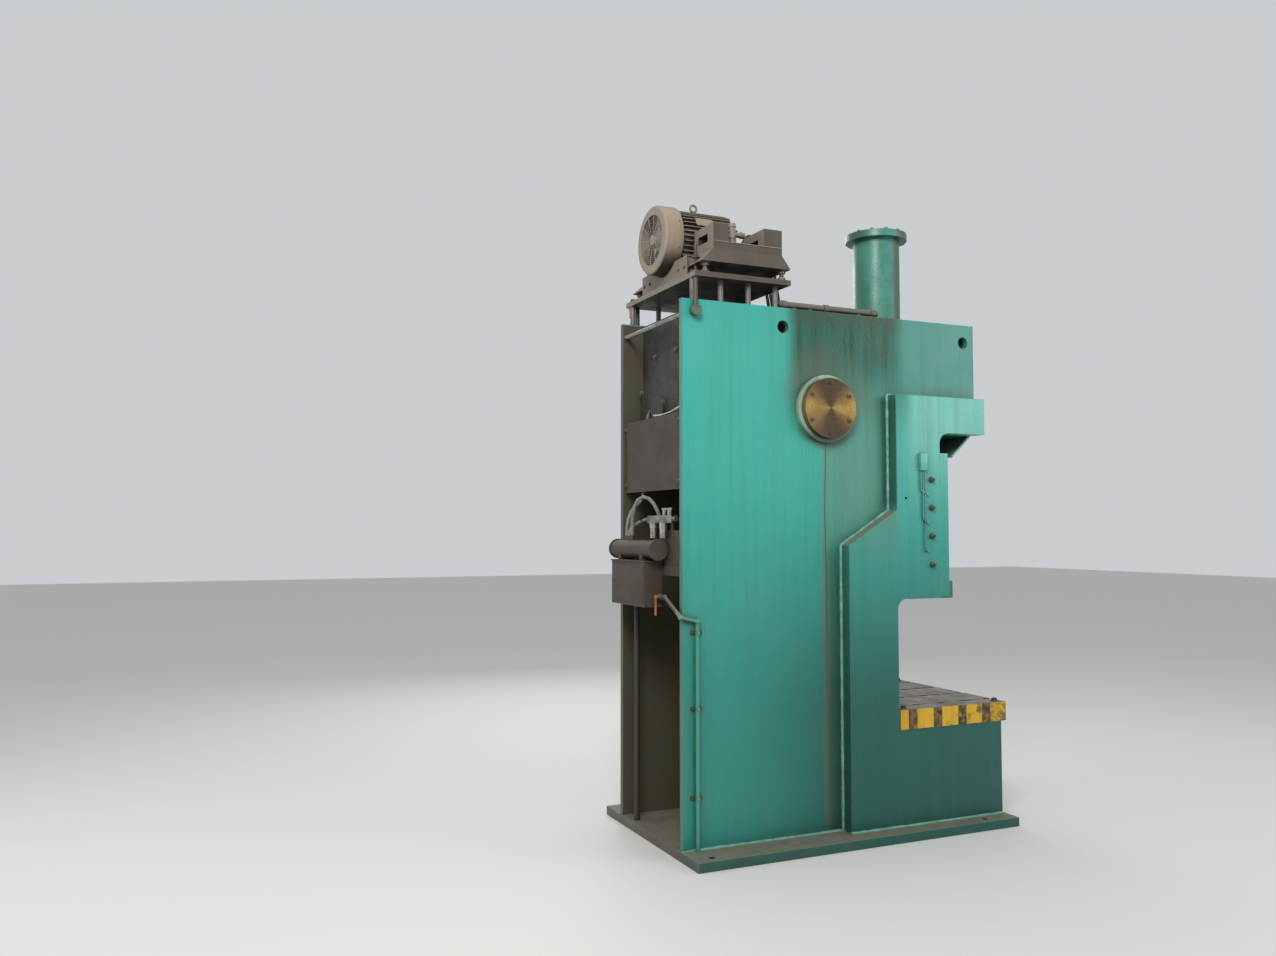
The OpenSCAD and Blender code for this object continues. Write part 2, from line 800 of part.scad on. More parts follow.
module brake_cover() {
    skin = 10;
    rim = 50;
    dish_y = cover_y + cover_dish;
    hub_y = cover_hub_y;
    color(dark_iron) {
        turned_y(0, shaft_z) polygon([[cover_r, cover_y], [cover_r, cover_y + 25], [cover_r - rim, cover_y + 40],
            [250, dish_y], [90, dish_y + 15], [90, hub_y], [0, hub_y], [0, hub_y - 30], [80, hub_y - 30],
            [80, dish_y + 5], [246, dish_y - skin], [cover_r - rim - 4, cover_y + 40 - skin],
            [cover_r - rim, cover_y]]);
        along_x(60, union_x, union_y, shaft_z, union_r);
        for (a = [22.5 : 45 : 337.5])
            translate([(cover_r - 25) * cos(a), 0, (cover_r - 25) * sin(a)])
                along_y(cover_y + 10, cover_y + 40, 0, shaft_z, 16);
    }
}

// Slide and guides

bar_slot_z = 1760;
bar_slot_h = 120;
bar_y = -940;
bar_w = 50;
bar_h = 60;
balancer_x = 312;
balancer_r = 55;
balancer_rod_r = 18;
balancer_wall = 10;
piston_z = slide_top_z + 555;
ear_low_z = slide_z + flange_h + 90;
well_w_x = 2 * (crank_r + ball_r + 5);
ear_front_y = neck_y + slide_gap;
ear_x = slide_w / 2 + ear_reach;
gib_x = slide_w / 2 + 10;
way_top_z = gib_top_z - 67;

module slide() {
    color(teal) difference() {
        union() {
            block(-slide_w / 2, slide_w / 2, slide_front_y, slide_back_y, slide_z, slide_top_z);
            block(-slide_w / 2, slide_w / 2, slide_front_y - flange_reach, slide_front_y + 1,
                slide_z, slide_z + flange_h);
            block(-ear_x, ear_x, ear_front_y, ear_front_y + ear_d, ear_low_z, slide_top_z);
        }
        block(-well_w_x / 2, well_w_x / 2, ram_y - ball_r - 10, ram_y + ball_r + 10,
            ball_z - ball_r - 2 * slide_gap - 25, slide_top_z + 1);
        block(-slide_w, slide_w, bar_y - bar_w / 2, bar_y + bar_w / 2, bar_slot_z, bar_slot_z + bar_slot_h);
        along_z(slide_z - 1, slide_z + shank_hole_h, 0, ram_y, shank_hole_r);
        for (x = [-220, 220]) block(x - tslot_w / 2, x + tslot_w / 2, slide_front_y - flange_reach - 1,
            slide_back_y + 1, slide_z - 1, slide_z + tslot_mouth_h);
        for (x = [-220, 220]) block(x - tslot_foot_w / 2, x + tslot_foot_w / 2,
            slide_front_y - flange_reach - 1, slide_back_y + 1, slide_z + tslot_mouth_h - 1,
            slide_z + tslot_mouth_h + tslot_foot_h);
    }
}

module knockout_bar() {
    g = slide_gap;
    color(bare_steel) block(-slide_w / 2 + 5, slide_w / 2 - 5, bar_y - bar_w / 2 + g,
        bar_y + bar_w / 2 - g, bar_slot_z + g, bar_slot_z + g + bar_h);
}

module guide_ways() {
    rear_y0 = ear_front_y + ear_d + slide_gap;
    color(bronze) for (side = [-1, 1]) scale_x(side) {
        block(ear_x + slide_gap, inner_x, neck_y, rear_y0, gib_low_z, way_top_z);
        block(gib_x, inner_x, rear_y0, main_plate_y, gib_low_z, way_top_z);
    }
}

module gib_plates() {
    color(teal) for (side = [-1, 1]) scale_x(side)
        block(gib_x, slab_x, neck_y - gib_t, neck_y, gib_low_z, gib_top_z);
}

module balancer_cylinders() {
    low_z = piston_z - 285;
    top_z = low_z + 360;
    end_t = 20;
    arm_h = 60;
    arm_z = low_z + 130;
    color(dull_teal) for (side = [-1, 1]) scale_x(side) difference() {
        union() {
            along_z(low_z, top_z, balancer_x, ram_y, balancer_r);
            block(balancer_x, inner_x, ram_y - 40, ram_y + 40, arm_z, arm_z + arm_h);
        }
        along_z(low_z + end_t, top_z - end_t, balancer_x, ram_y, balancer_r - balancer_wall);
        along_z(low_z - 1, low_z + end_t + 1, balancer_x, ram_y, balancer_rod_r + run_gap);
    }
}

module balancer_rods() {
    piston_t = 30;
    color(bare_steel) for (side = [-1, 1]) scale_x(side) {
        along_z(slide_top_z, piston_z, balancer_x, ram_y, balancer_rod_r);
        along_z(piston_z, piston_z + piston_t, balancer_x, ram_y, balancer_r - balancer_wall - run_gap);
    }
}

// Motor platform

module motor_base_plate() {
    color(platform_brown)
        block(-plate_w / 2, plate_w / 2, plate_front_y, plate_rear_y, plate_z, plate_z + plate_t);
}

module motor_supports() {
    jack_r = 15;
    nut_h = 22;
    nut_r = 26;
    near_hook_y = plate_rear_y - hook_r - 3;
    far_hook_y = lamp_y - lamp_r - hook_r - 6;
    hook_z = crown_z - 80;
    hook_x = half_w + 25;
    eye_r = 34;
    color(dark_iron) {
        for (x = [-post_x, post_x], y = post_ys) along_z(crown_z, plate_z, x, y, post_r);
        for (x = [-jack_x, jack_x], y = jack_ys) {
            along_z(plate_z + plate_t, tray_z, x, y, jack_r);
            hex_z(plate_z + plate_t, nut_h, x, y, nut_r);
            hex_z(tray_z - nut_h, nut_h, x, y, nut_r);
        }
        for (side = [-1, 1], y = side < 0 ? near_hook_y : far_hook_y) scale_x(side) {
            along_z(hook_z, plate_z, hook_x, y, hook_r);
            along_x(half_w, half_w + 52, y, hook_z, eye_r);
        }
    }
}

// The tray's sloping walls, drawn in from every side by inset, between two heights
module tray_form(inset, z0, z1) {
    w = tray_w / 2 - inset;
    top_w = tray_top_x - inset;
    front_y = tray_front_y + inset;
    rear_y = tray_rear_y - inset;
    top_front_y = front_y + tray_slope_front;
    top_rear_y = rear_y - tray_slope_rear;
    skirt_z = tray_z + skirt_h;
    intersection() {
        yz_plate(-w, 2 * w) polygon([[front_y, tray_z], [rear_y, tray_z], [top_rear_y, skirt_z],
            [top_rear_y, tray_top_z], [top_front_y, tray_top_z], [top_front_y, skirt_z]]);
        xz_plate(front_y, rear_y - front_y) polygon([[-w, tray_z], [w, tray_z], [top_w, skirt_z],
            [top_w, tray_top_z], [-top_w, tray_top_z], [-top_w, skirt_z]]);
        block(-w, w, front_y, rear_y, z0, z1);
    }
}

module motor_tray() {
    wall = 14;
    well = well_w / 2;
    color(platform_brown) difference() {
        tray_form(0, tray_z, tray_top_z);
        for (side = [-1, 1]) scale_x(side) intersection() {
            tray_form(wall, feet_z, tray_top_z - wall);
            block(well + wall, tray_w, tray_front_y, tray_rear_y, tray_z, tray_top_z);
        }
        block(-well, well, tray_front_y - 1, tray_rear_y + 1, feet_z, tray_top_z + 1);
        along_y(cowl_front_y - 8, tray_rear_y + 1, 0, motor_z, cowl_r + 6);
    }
}

bracket_rear_len = 114;
bracket_front_len = 139;
bracket_rear_y = tray_rear_y - tray_slope_rear - bracket_rear_len;
bracket_front_y = tray_front_y + tray_slope_front;

// A box bracket with a window along it
module tray_bracket(y0, len) {
    inner = well_w / 2;
    top_z = tray_top_z + bracket_h;
    color(platform_brown) difference() {
        block(inner, tray_top_x, y0, y0 + len, tray_top_z, top_z);
        block(inner + 50, tray_top_x - 80, y0 - 1, y0 + len + 1, tray_top_z + 12, top_z - 56);
    }
}

module tray_brackets() {
    for (side = [-1, 1]) scale_x(side) {
        tray_bracket(bracket_rear_y, bracket_rear_len);
        tray_bracket(bracket_front_y, bracket_front_len);
    }
}

// Motor

motor_shaft_r = 30;
shield_t = 40;
cowl_skin = 4;

module motor_body() {
    fins = 40;
    foot_x = 203;
    eye_y = 860;
    eye_z = motor_z + stator_r + fin_h + 40;
    color(motor_beige) difference() {
        union() {
            along_y(stator_front_y, cowl_front_y, 0, motor_z, stator_r);
            for (i = [0 : fins - 1]) translate([0, 0, motor_z]) rotate([0, i * 360 / fins, 0])
                block(-2.5, 2.5, stator_front_y + 10, cowl_front_y - 10, stator_r - 4, stator_r + fin_h);
            for (side = [-1, 1]) scale_x(side) {
                block(foot_x - 60, foot_x + 40, stator_front_y + 30, stator_front_y + 110, feet_z, feet_z + 24);
                block(foot_x - 60, foot_x + 40, cowl_front_y - 90, cowl_front_y - 20, feet_z, feet_z + 24);
                block(foot_x - 60, foot_x - 30, stator_front_y + 30, cowl_front_y - 20, feet_z, motor_z - 100);
            }
        }
        along_y(stator_front_y - 1, cowl_front_y + 1, 0, motor_z, stator_r - 20);
    }
    color(motor_beige) {
        along_z(motor_z + stator_r - 5, eye_z - 20, 0, eye_y, 12);
        translate([0, eye_y, eye_z]) rotate([0, 90, 0]) rotate_extrude()
            translate([24, 0]) circle(r = 8);
    }
}

module motor_end_shields() {
    color(motor_beige) {
        difference() {
            turned_y(0, motor_z) polygon([[0, stator_front_y - shield_t], [90, stator_front_y - shield_t],
                [170, stator_front_y - 12], [stator_r + 10, stator_front_y - 12],
                [stator_r + 10, stator_front_y], [0, stator_front_y]]);
            along_y(stator_front_y - 100, stator_front_y + 1, 0, motor_z, motor_shaft_r + run_gap);
        }
        for (a = [22.5 : 45 : 337.5]) translate([0, 0, motor_z]) rotate([0, a, 0])
            along_y(stator_front_y - 14, stator_front_y - 0.5, 0, stator_r + 12, 15);
        difference() {
            turned_y(0, motor_z) polygon([[0, cowl_front_y], [stator_r + 10, cowl_front_y],
                [stator_r + 10, cowl_front_y + 12], [100, cowl_front_y + 24], [0, cowl_front_y + 24]]);
            along_y(cowl_front_y - 1, cowl_front_y + 100, 0, motor_z, motor_shaft_r + run_gap);
        }
        intersection() {
            turned_y(0, motor_z) translate([stator_r, cowl_front_y + 4])
                square([cowl_r - cowl_skin - stator_r, 24]);
            for (a = [45, 135]) translate([0, 0, motor_z]) rotate([0, a, 0])
                block(-15, 15, cowl_front_y, cowl_front_y + 40, -cowl_r, cowl_r);
        }
    }
}

module fan_cowl() {
    skin = cowl_skin;
    corner = 45;
    color(motor_beige) difference() {
        turned_y(0, motor_z) difference() {
            union() {
                translate([0, cowl_front_y + 12]) square([cowl_r, cowl_len - 12 - corner]);
                translate([0, cowl_rear_y - corner]) square([cowl_r - corner, corner]);
                translate([cowl_r - corner, cowl_rear_y - corner]) circle(r = corner);
            }
            translate([-cowl_r, 0]) square([cowl_r, 2 * rear_y]);
            translate([0, cowl_front_y]) square([cowl_r - skin, cowl_len - corner]);
            translate([0, cowl_rear_y - corner - 1]) square([cowl_r - corner, corner + 1 - skin]);
            translate([cowl_r - corner, cowl_rear_y - corner]) circle(r = corner - skin);
        }
        difference() {
            along_y(cowl_rear_y - 30, cowl_rear_y + 1, 0, motor_z, 150);
            along_y(cowl_rear_y - 31, cowl_rear_y + 2, 0, motor_z, 40);
            for (r = [60 : 22 : 148]) difference() {
                along_y(cowl_rear_y - 31, cowl_rear_y + 2, 0, motor_z, r + 4);
                along_y(cowl_rear_y - 32, cowl_rear_y + 3, 0, motor_z, r);
            }
            for (a = [0 : 45 : 135]) translate([0, 0, motor_z]) rotate([0, a, 0])
                block(-4, 4, cowl_rear_y - 31, cowl_rear_y + 2, -160, 160);
        }
    }
}

module terminal_box() {
    box_y = stator_front_y + 34;
    box_len = 180;
    box_half = 75;
    lid_t = 14;
    lid_lip = 5;
    fins_r = stator_r + fin_h;
    high_x = fins_r + 96;
    box_z = motor_z + 35;
    color(motor_beige) {
        difference() {
            block(fins_r - 50, high_x - lid_t, box_y, box_y + box_len, box_z - box_half, box_z + box_half);
            along_y(box_y - 1, box_y + box_len + 1, 0, motor_z, fins_r + seat_gap);
        }
        block(high_x - lid_t, high_x, box_y - lid_lip, box_y + box_len + lid_lip,
            box_z - box_half - lid_lip, box_z + box_half + lid_lip);
        along_z(box_z - box_half - 45, box_z - box_half, fins_r + 40, box_y + 60, 18);
    }
}

module motor_rotor() {
    fan_gap = 60;
    fan_w = 50;
    fan_hub_r = 60;
    rear_end_y = cowl_rear_y - fan_gap;
    color(bare_steel) {
        along_y(belt_y - fly_w / 2, rear_end_y, 0, motor_z, motor_shaft_r);
        along_y(stator_front_y + 60, cowl_front_y - 40, 0, motor_z, stator_r - 21);
    }
    color(rubber) {
        along_y(rear_end_y - fan_w, rear_end_y, 0, motor_z, fan_hub_r);
        for (a = [0 : 45 : 315]) translate([0, 0, motor_z]) rotate([0, a, 0])
            block(-3, 3, rear_end_y - fan_w, rear_end_y - 5, fan_hub_r - 10, cowl_r - 33);
    }
}

// Air system

module air_tank() {
    color(teal) difference() {
        along_z(crown_z, tank_top_z, 0, tank_y, tank_r);
        along_z(crown_z - 1, tank_top_z - 12, 0, tank_y, tank_r - 12);
    }
}

module tank_cap() {
    cap_top_z = tank_top_z + tank_cap_t;
    rim_y = tank_y - tank_cap_r;
    color(teal) {
        along_z(tank_top_z, cap_top_z, 0, tank_y, tank_cap_r);
        along_z(cap_top_z, cap_top_z + 40, 0, tank_y, 16);
        along_y(rim_y - 30, rim_y + 10, 0, tank_top_z + tank_cap_t / 2, 14);
    }
    color(dark_iron) for (a = [15 : 30 : 345])
        hex_z(cap_top_z, 14, 200 * cos(a), tank_y + 200 * sin(a), 15);
}

module air_receiver() {
    x0 = receiver_x - receiver_len / 2;
    x1 = receiver_x + receiver_len / 2;
    box_top_z = receiver_z - receiver_r - 12;
    color(hose_grey) {
        along_x(x0 + 18, x1 - 18, receiver_y, receiver_z, receiver_r);
        along_x(x0, x0 + 18, receiver_y, receiver_z, receiver_r + 8);
        along_x(x1 - 18, x1, receiver_y, receiver_z, receiver_r + 8);
        for (x = [150, 195, 240]) along_z(receiver_z + receiver_r - 6, hose_foot_z, x, receiver_y, 17);
        for (x = [-100, 260]) difference() {
            block(x - 20, x + 20, receiver_y - 50, receiver_y + 50, box_top_z, receiver_z);
            along_x(x - 21, x + 21, receiver_y, receiver_z, receiver_r - 1);
        }
    }
}

module rear_valve_box() {
    top_z = receiver_z - receiver_r - 12;
    low_z = 1576;
    color(platform_brown) {
        block(-200, 350, rear_y, receiver_y + 68, low_z, top_z - 8);
        block(-210, 360, rear_y, receiver_y + 74, top_z - 8, top_z);
        block(-inner_x, inner_x, rail_y, rear_y, rail_z, rail_z + 60);
        block(-inner_x, -140, rear_y - 22, rear_y - 10, rail_z + 60, 2080);
    }
}

module air_unit() {
    bar_z = 2155;
    bar_yc = rear_y - 16;
    color(bare_steel) {
        block(-353, 23, bar_yc - 22, bar_yc + 22, bar_z - 25, bar_z + 25);
        block(-340, -300, bar_yc - 6, bar_yc + 6, 2080, bar_z - 25);
        block(-190, -150, bar_yc - 6, bar_yc + 6, 2080, bar_z - 25);
        for (x = [-290, -215]) {
            along_z(bar_z + 25, bar_z + 60, x, bar_yc, 18);
            hex_z(bar_z + 60, 14, x, bar_yc, 24);
        }
        along_x(-383, -353, bar_yc, bar_z, 16);
        along_x(23, 53, bar_yc, bar_z, 16);
    }
    color(hose_grey) for (x = [-270, -120]) {
        along_z(bar_z - 60, bar_z - 25, x, bar_yc + 38, 30);
        along_z(bar_z - 125, bar_z - 60, x, bar_yc + 38, 26);
    }
}

arch_hose = [[150, 1262, 2044], [150, 1262, 2100], [148, 1260, 2170], [138, 1252, 2240],
    [115, 1236, 2290], [80, 1212, 2312], [42, 1186, 2300], [12, 1160, 2262], [-5, 1140, 2210],
    [-12, 1124, 2150], [-14, 1110, 2080], [-14, 1098, 2000], [-14, 1092, 1920], [-14, 1092, 1846]];
riser_hose = [[240, 1262, 2044], [240, 1262, 2100], [241, 1250, 2162], [244, 1226, 2215],
    [246, 1192, 2252], [247, 1160, 2282], [246, 1137, 2320], [242, 1129, 2370], [236, 1128, 2440],
    [228, 1128, 2540], [220, 1128, 2660], [208, 1128, 2770], [190, 1128, 2850], [166, 1128, 2893],
    [142, 1128, 2909], [120, 1128, 2909]];
link_hose = [[53, 1184, 2155], [80, 1184, 2155], [112, 1190, 2151], [145, 1207, 2140],
    [172, 1228, 2120], [189, 1250, 2098], [195, 1262, 2072], [195, 1262, 2044]];

module rear_hoses() {
    color(hose_grey) {
        hose(arch_hose, hose_r);
        hose(riser_hose, hose_r);
        hose(link_hose, hose_r);
    }
}

valve_x = -230;
valve_y = 1222;
valve_z = 1643;

module ball_valve() {
    color(bare_steel) {
        along_x(valve_x - 30, valve_x + 30, valve_y, valve_z, 20);
        along_y(valve_y, valve_y + 34, valve_x, valve_z, 11);
    }
}

module valve_handle() {
    stem_y = valve_y + 34.3;
    color("darkorange") {
        along_y(stem_y, stem_y + 10, valve_x, valve_z, 16);
        block(valve_x - 9, valve_x + 9, stem_y + 2, stem_y + 8, valve_z - 120, valve_z);
    }
}

module air_pipes() {
    side_x = -half_w - pipe_r - 10;
    drop_y = rear_y - 95;
    turn_z = valve_z - 113;
    clamp_t = 20;
    riser_x = 300;
    coupling_r = crown_pipe_r + 6;
    crown_pipe_x = -half_w + coupling_r;
    color(dull_teal) {
        pipe_run([[valve_x - 30, valve_y, valve_z], [valve_x - 60, valve_y, valve_z],
            [side_x, valve_y, turn_z], [side_x, drop_y, turn_z - 30], [side_x, drop_y, base_t]], pipe_r);
        for (drop = [90, 570, 1130])
            block(-half_w - 2 * pipe_r - 14, -half_w, drop_y - clamp_t / 2, drop_y + clamp_t / 2,
                turn_z - drop - clamp_t, turn_z - drop);
    }
    color(bare_steel) {
        along_y(-350, post_ys[0] - post_r - 10, crown_pipe_x, crown_z + coupling_r, crown_pipe_r);
        for (y = [-330, 60, 400])
            along_y(y, y + 36, crown_pipe_x, crown_z + coupling_r, coupling_r);
        along_z(base_t, rail_z, riser_x, rear_y - 40, 20);
    }
}

module rear_lamp() {
    foot_z = plate_z - 14;
    color("orangered") along_z(plate_z - 75, foot_z, lamp_x, lamp_y, lamp_r - 4);
    color(dark_iron) along_z(foot_z, plate_z, lamp_x, lamp_y, lamp_r);
}

// Controls

box_x = 130;
box_front_y = -700;
box_low_z = 1800;
box_high_z = 2250;
button_x = slab_x + box_x / 2;
button_travel = 6;

module control_box() {
    color(platform_brown) difference() {
        block(slab_x, slab_x + box_x, box_front_y, box_front_y + 220, box_low_z, box_high_z);
        for (z = button_zs) along_y(box_front_y - 1, box_front_y + 30, button_x, z, button_r + slide_gap);
    }
}

button_r = 18;
button_zs = [box_low_z + 75, (box_low_z + box_high_z) / 2, box_high_z - 75];

module push_button(z, head_r) {
    head_y = box_front_y - button_travel - 4;
    along_y(head_y - 4, box_front_y + 20, button_x, z, button_r);
    along_y(head_y - 14, head_y, button_x, z, head_r);
}

module upper_run_button() {
    color("green") push_button(button_zs[2], 26);
}

module lower_run_button() {
    color("green") push_button(button_zs[0], 26);
}

module stop_button() {
    color("red") push_button(button_zs[1], 34);
}

base_plate();
left_side_plate();
right_side_plate();
left_front_slab();
right_front_slab();
crown_top_plate();
crown_front_plate();
crown_front_hood();
main_bearing_plate();
rear_bearing_plate();
rear_cross_plate();
throat_back_plate();
bed_box();
rear_tie_rod();
bolster();
cushion_cylinder();
cushion_pad();
bearing_saddle();
bearing_bushes();
trunnion_rings();
trunnion_caps();
cap_bolts();
guide_ways();
gib_plates();
motor_base_plate();
motor_supports();
motor_tray();
tray_brackets();
motor_body();
motor_end_shields();
fan_cowl();
terminal_box();
motor_rotor();
motor_pulley();
v_belts();
flywheel();
crankshaft();
clutch_and_brake();
brake_cover();
connecting_rod();
rod_cap();
slide();
knockout_bar();
balancer_cylinders();
balancer_rods();
air_tank();
tank_cap();
air_receiver();
rear_valve_box();
air_unit();
rear_hoses();
ball_valve();
valve_handle();
air_pipes();
rear_lamp();
control_box();
upper_run_button();
lower_run_button();
stop_button();
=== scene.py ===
# %% [markdown]
# # Dressing a stamping press
# The CAD model gives every part of a gap-frame press its true size and place. This lesson turns it into
# a machine that has worked for years: enamel paint with oil runs and chipped edges, dusty steel on the
# motor platform, turned bronze, weld beads, bolts and cables. The CAD parts are never moved or changed.

# %% Load the fixed frame, with helpers that measure boxes
import json
import math

import bmesh
import bpy
from mathutils import Matrix, Vector, noise


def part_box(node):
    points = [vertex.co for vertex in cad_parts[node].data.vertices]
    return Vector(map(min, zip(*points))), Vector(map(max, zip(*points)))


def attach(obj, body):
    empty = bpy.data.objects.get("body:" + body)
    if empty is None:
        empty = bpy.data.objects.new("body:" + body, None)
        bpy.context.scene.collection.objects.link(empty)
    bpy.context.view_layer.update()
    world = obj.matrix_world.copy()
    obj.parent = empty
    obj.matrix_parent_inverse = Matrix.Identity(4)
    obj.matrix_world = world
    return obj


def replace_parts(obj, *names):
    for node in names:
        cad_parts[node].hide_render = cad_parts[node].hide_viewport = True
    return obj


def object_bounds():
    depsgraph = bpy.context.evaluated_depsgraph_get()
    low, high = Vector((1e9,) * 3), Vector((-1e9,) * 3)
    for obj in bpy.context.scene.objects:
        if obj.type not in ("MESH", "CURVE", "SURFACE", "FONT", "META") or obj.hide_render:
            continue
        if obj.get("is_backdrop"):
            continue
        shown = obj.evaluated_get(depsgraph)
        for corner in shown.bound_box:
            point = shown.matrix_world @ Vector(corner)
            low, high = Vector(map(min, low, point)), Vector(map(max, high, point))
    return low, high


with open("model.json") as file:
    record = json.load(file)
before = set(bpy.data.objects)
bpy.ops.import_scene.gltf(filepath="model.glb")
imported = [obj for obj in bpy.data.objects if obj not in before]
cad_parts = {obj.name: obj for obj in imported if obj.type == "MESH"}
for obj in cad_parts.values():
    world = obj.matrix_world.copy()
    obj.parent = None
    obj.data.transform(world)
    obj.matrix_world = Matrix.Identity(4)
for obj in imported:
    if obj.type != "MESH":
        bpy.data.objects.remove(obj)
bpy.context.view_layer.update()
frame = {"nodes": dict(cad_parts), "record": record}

# %% [markdown]
# ## The camera
# The camera stands to the rear left of the press, 1.5 m above a workshop floor that lies 0.583 m above
# the pit in which the press stands. A camera looks along its own -Z, so the view direction is turned
# into a rotation with to_track_quat.

# %% Camera at the photograph's place
def linked(name, data):
    """A new object in the scene."""
    made = bpy.data.objects.new(name, data)
    bpy.context.scene.collection.objects.link(made)
    return made


PIT_DEPTH = 0.583
EYE_HEIGHT = 1.5
FOCAL_PIXELS = 1050
PHOTO_WIDTH = 1276
STANDPOINT = (-6.506, 4.182)
HEADING = (0.9135, -0.4067)
PITCH = math.radians(2.84)
camera_data = bpy.data.cameras.new("photo_camera")
camera_data.sensor_width = 36
camera_data.lens = camera_data.sensor_width * FOCAL_PIXELS / PHOTO_WIDTH
camera = linked("photo_camera", camera_data)
view_line = Vector((HEADING[0] * math.cos(PITCH), HEADING[1] * math.cos(PITCH), math.sin(PITCH)))
camera.location = (*STANDPOINT, EYE_HEIGHT + PIT_DEPTH)
camera.rotation_euler = view_line.to_track_quat("-Z", "Y").to_euler()
bpy.context.scene.camera = camera
print("lens", round(camera_data.lens, 2), "mm")

# %% [markdown]
# ## Floor and light
# A plain pale floor and a few large soft lamps show the object. In the workshop most light falls from
# the upper left and from behind the camera, so the key lamp hangs there.

# %% Floor
floor_mesh = bpy.data.meshes.new("studio_floor")
bm = bmesh.new()
just_below = Matrix.Translation((0, 0, -0.002))
bmesh.ops.create_grid(bm, x_segments=1, y_segments=1, size=40, matrix=just_below)
bm.to_mesh(floor_mesh)
bm.free()
floor = linked("studio_floor", floor_mesh)
floor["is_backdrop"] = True
floor_paint = bpy.data.materials.new("floor_paint")
floor_paint.use_nodes = True
floor_shader = floor_paint.node_tree.nodes["Principled BSDF"]
floor_shader.inputs["Base Color"].default_value = (0.62, 0.61, 0.59, 1)
floor_shader.inputs["Roughness"].default_value = 0.7
floor_mesh.materials.append(floor_paint)

# %% World and lamps
world = bpy.data.worlds.new("studio_world")
world.use_nodes = True
sky = world.node_tree.nodes["Background"].inputs
sky["Color"].default_value = (0.82, 0.85, 0.88, 1)
sky["Strength"].default_value = 0.72
bpy.context.scene.world = world
bpy.context.scene.view_settings.view_transform = "Standard"


def lamp(name, place, aim, size, power, colour):
    """A square area lamp that points from its place to the aim."""
    data = bpy.data.lights.new(name, "AREA")
    data.size = size
    data.energy = power
    data.color = colour
    made = linked(name, data)
    made.location = place
    made.rotation_euler = (Vector(aim) - Vector(place)).to_track_quat("-Z", "Y").to_euler()


lamp("key_lamp", (-6.5, 5.0, 7.5), (0, 0, 2.6), 3.0, 620, (1.0, 0.98, 0.94))
lamp("front_fill", (-5.0, -6.5, 4.5), (0, -0.5, 1.8), 4.0, 130, (0.95, 0.98, 1.0))
lamp("far_fill", (6.5, -1.0, 5.0), (0, 0, 2.0), 4.0, 180, (1.0, 0.97, 0.94))
lamp("rear_fill", (1.5, 7.0, 3.5), (0, 1.0, 2.4), 3.0, 60, (1.0, 0.98, 0.96))

# %% [markdown]
# ## Small tools for materials
# A material is a tree of nodes. One helper adds a node, sets its options and types a value into a socket
# or links one to it, so a finish reads like a recipe.

# %% Node helper
def node(tree, kind, inputs=None, **options):
    """Adds a node; a value in inputs is typed in, and a socket in inputs is linked."""
    made = tree.nodes.new(kind)
    for key, value in options.items():
        setattr(made, key, value)
    for key, value in (inputs or {}).items():
        if isinstance(value, bpy.types.NodeSocket):
            tree.links.new(value, made.inputs[key])
        else:
            made.inputs[key].default_value = value
    return made


def smooth(tree, value, low, high, out_low=0.0, out_high=1.0):
    """A soft step from out_low to out_high while value goes from low to high."""
    made = node(tree, "ShaderNodeMapRange", {0: value, 1: low, 2: high, 3: out_low, 4: out_high},
                interpolation_type="SMOOTHSTEP")
    return made.outputs[0]


def maths(tree, kind, first, second=0.0, clamp=False):
    """One step of arithmetic."""
    return node(tree, "ShaderNodeMath", {0: first, 1: second}, operation=kind, use_clamp=clamp).outputs[0]


def grain_of(tree, place, scale, detail=3.0, roughness=0.6, stretch=(1, 1, 1)):
    """Noise on a stretched copy of the place, from 0 to 1."""
    spot = node(tree, "ShaderNodeVectorMath", {0: place, 1: stretch}, operation="MULTIPLY")
    made = node(tree, "ShaderNodeTexNoise", {"Vector": spot.outputs[0], "Scale": scale, "Detail": detail,
                                             "Roughness": roughness})
    return made.outputs["Fac"]


def mix(tree, share, first, second):
    """Colour first where share is 0 and colour second where it is 1."""
    made = node(tree, "ShaderNodeMix", {0: share, 6: first, 7: second}, data_type="RGBA")
    return made.outputs[2]


def new_group(name, takes, gives):
    """An empty group: its tree, the sockets of what it is given and the sockets of its result."""
    group = bpy.data.node_groups.new(name, "ShaderNodeTree")
    group.interface.new_socket("Place", in_out="INPUT", socket_type="NodeSocketVector")
    for label in takes:
        group.interface.new_socket(label, in_out="INPUT", socket_type="NodeSocketFloat")
    for label in gives:
        group.interface.new_socket(label, in_out="OUTPUT", socket_type="NodeSocketFloat")
    return group, group.nodes.new("NodeGroupInput").outputs, group.nodes.new("NodeGroupOutput").inputs


# %% [markdown]
# ## Wear, dirt and painted shade that many finishes share
# Paint goes first along the edges. The Bevel node gives the normal that a rounded edge would have; where
# it leaves the true normal there is an edge. Noise breaks that line up, as a real edge chips unevenly.

# %% Group: chipped edges
t, given, result = new_group("edge_chips", ["Reach", "Amount"], ["Mask", "Edge"])
rounded = node(t, "ShaderNodeBevel", {"Radius": given["Reach"]}, samples=4)
flat = node(t, "ShaderNodeNewGeometry")
meet = node(t, "ShaderNodeVectorMath", {0: rounded.outputs[0], 1: flat.outputs["Normal"]},
            operation="DOT_PRODUCT")
edge = smooth(t, meet.outputs["Value"], 0.995, 0.86)
patch = grain_of(t, given["Place"], 9.0, 6.0, 0.7)
limit = maths(t, "SUBTRACT", 0.8, maths(t, "MULTIPLY", given["Amount"], 0.45))
chips = maths(t, "MULTIPLY", edge, maths(t, "GREATER_THAN", patch, limit))
t.links.new(chips, result["Mask"])
# The Edge mask also lets finishes paint a highlight along the edges.
t.links.new(edge, result["Edge"])
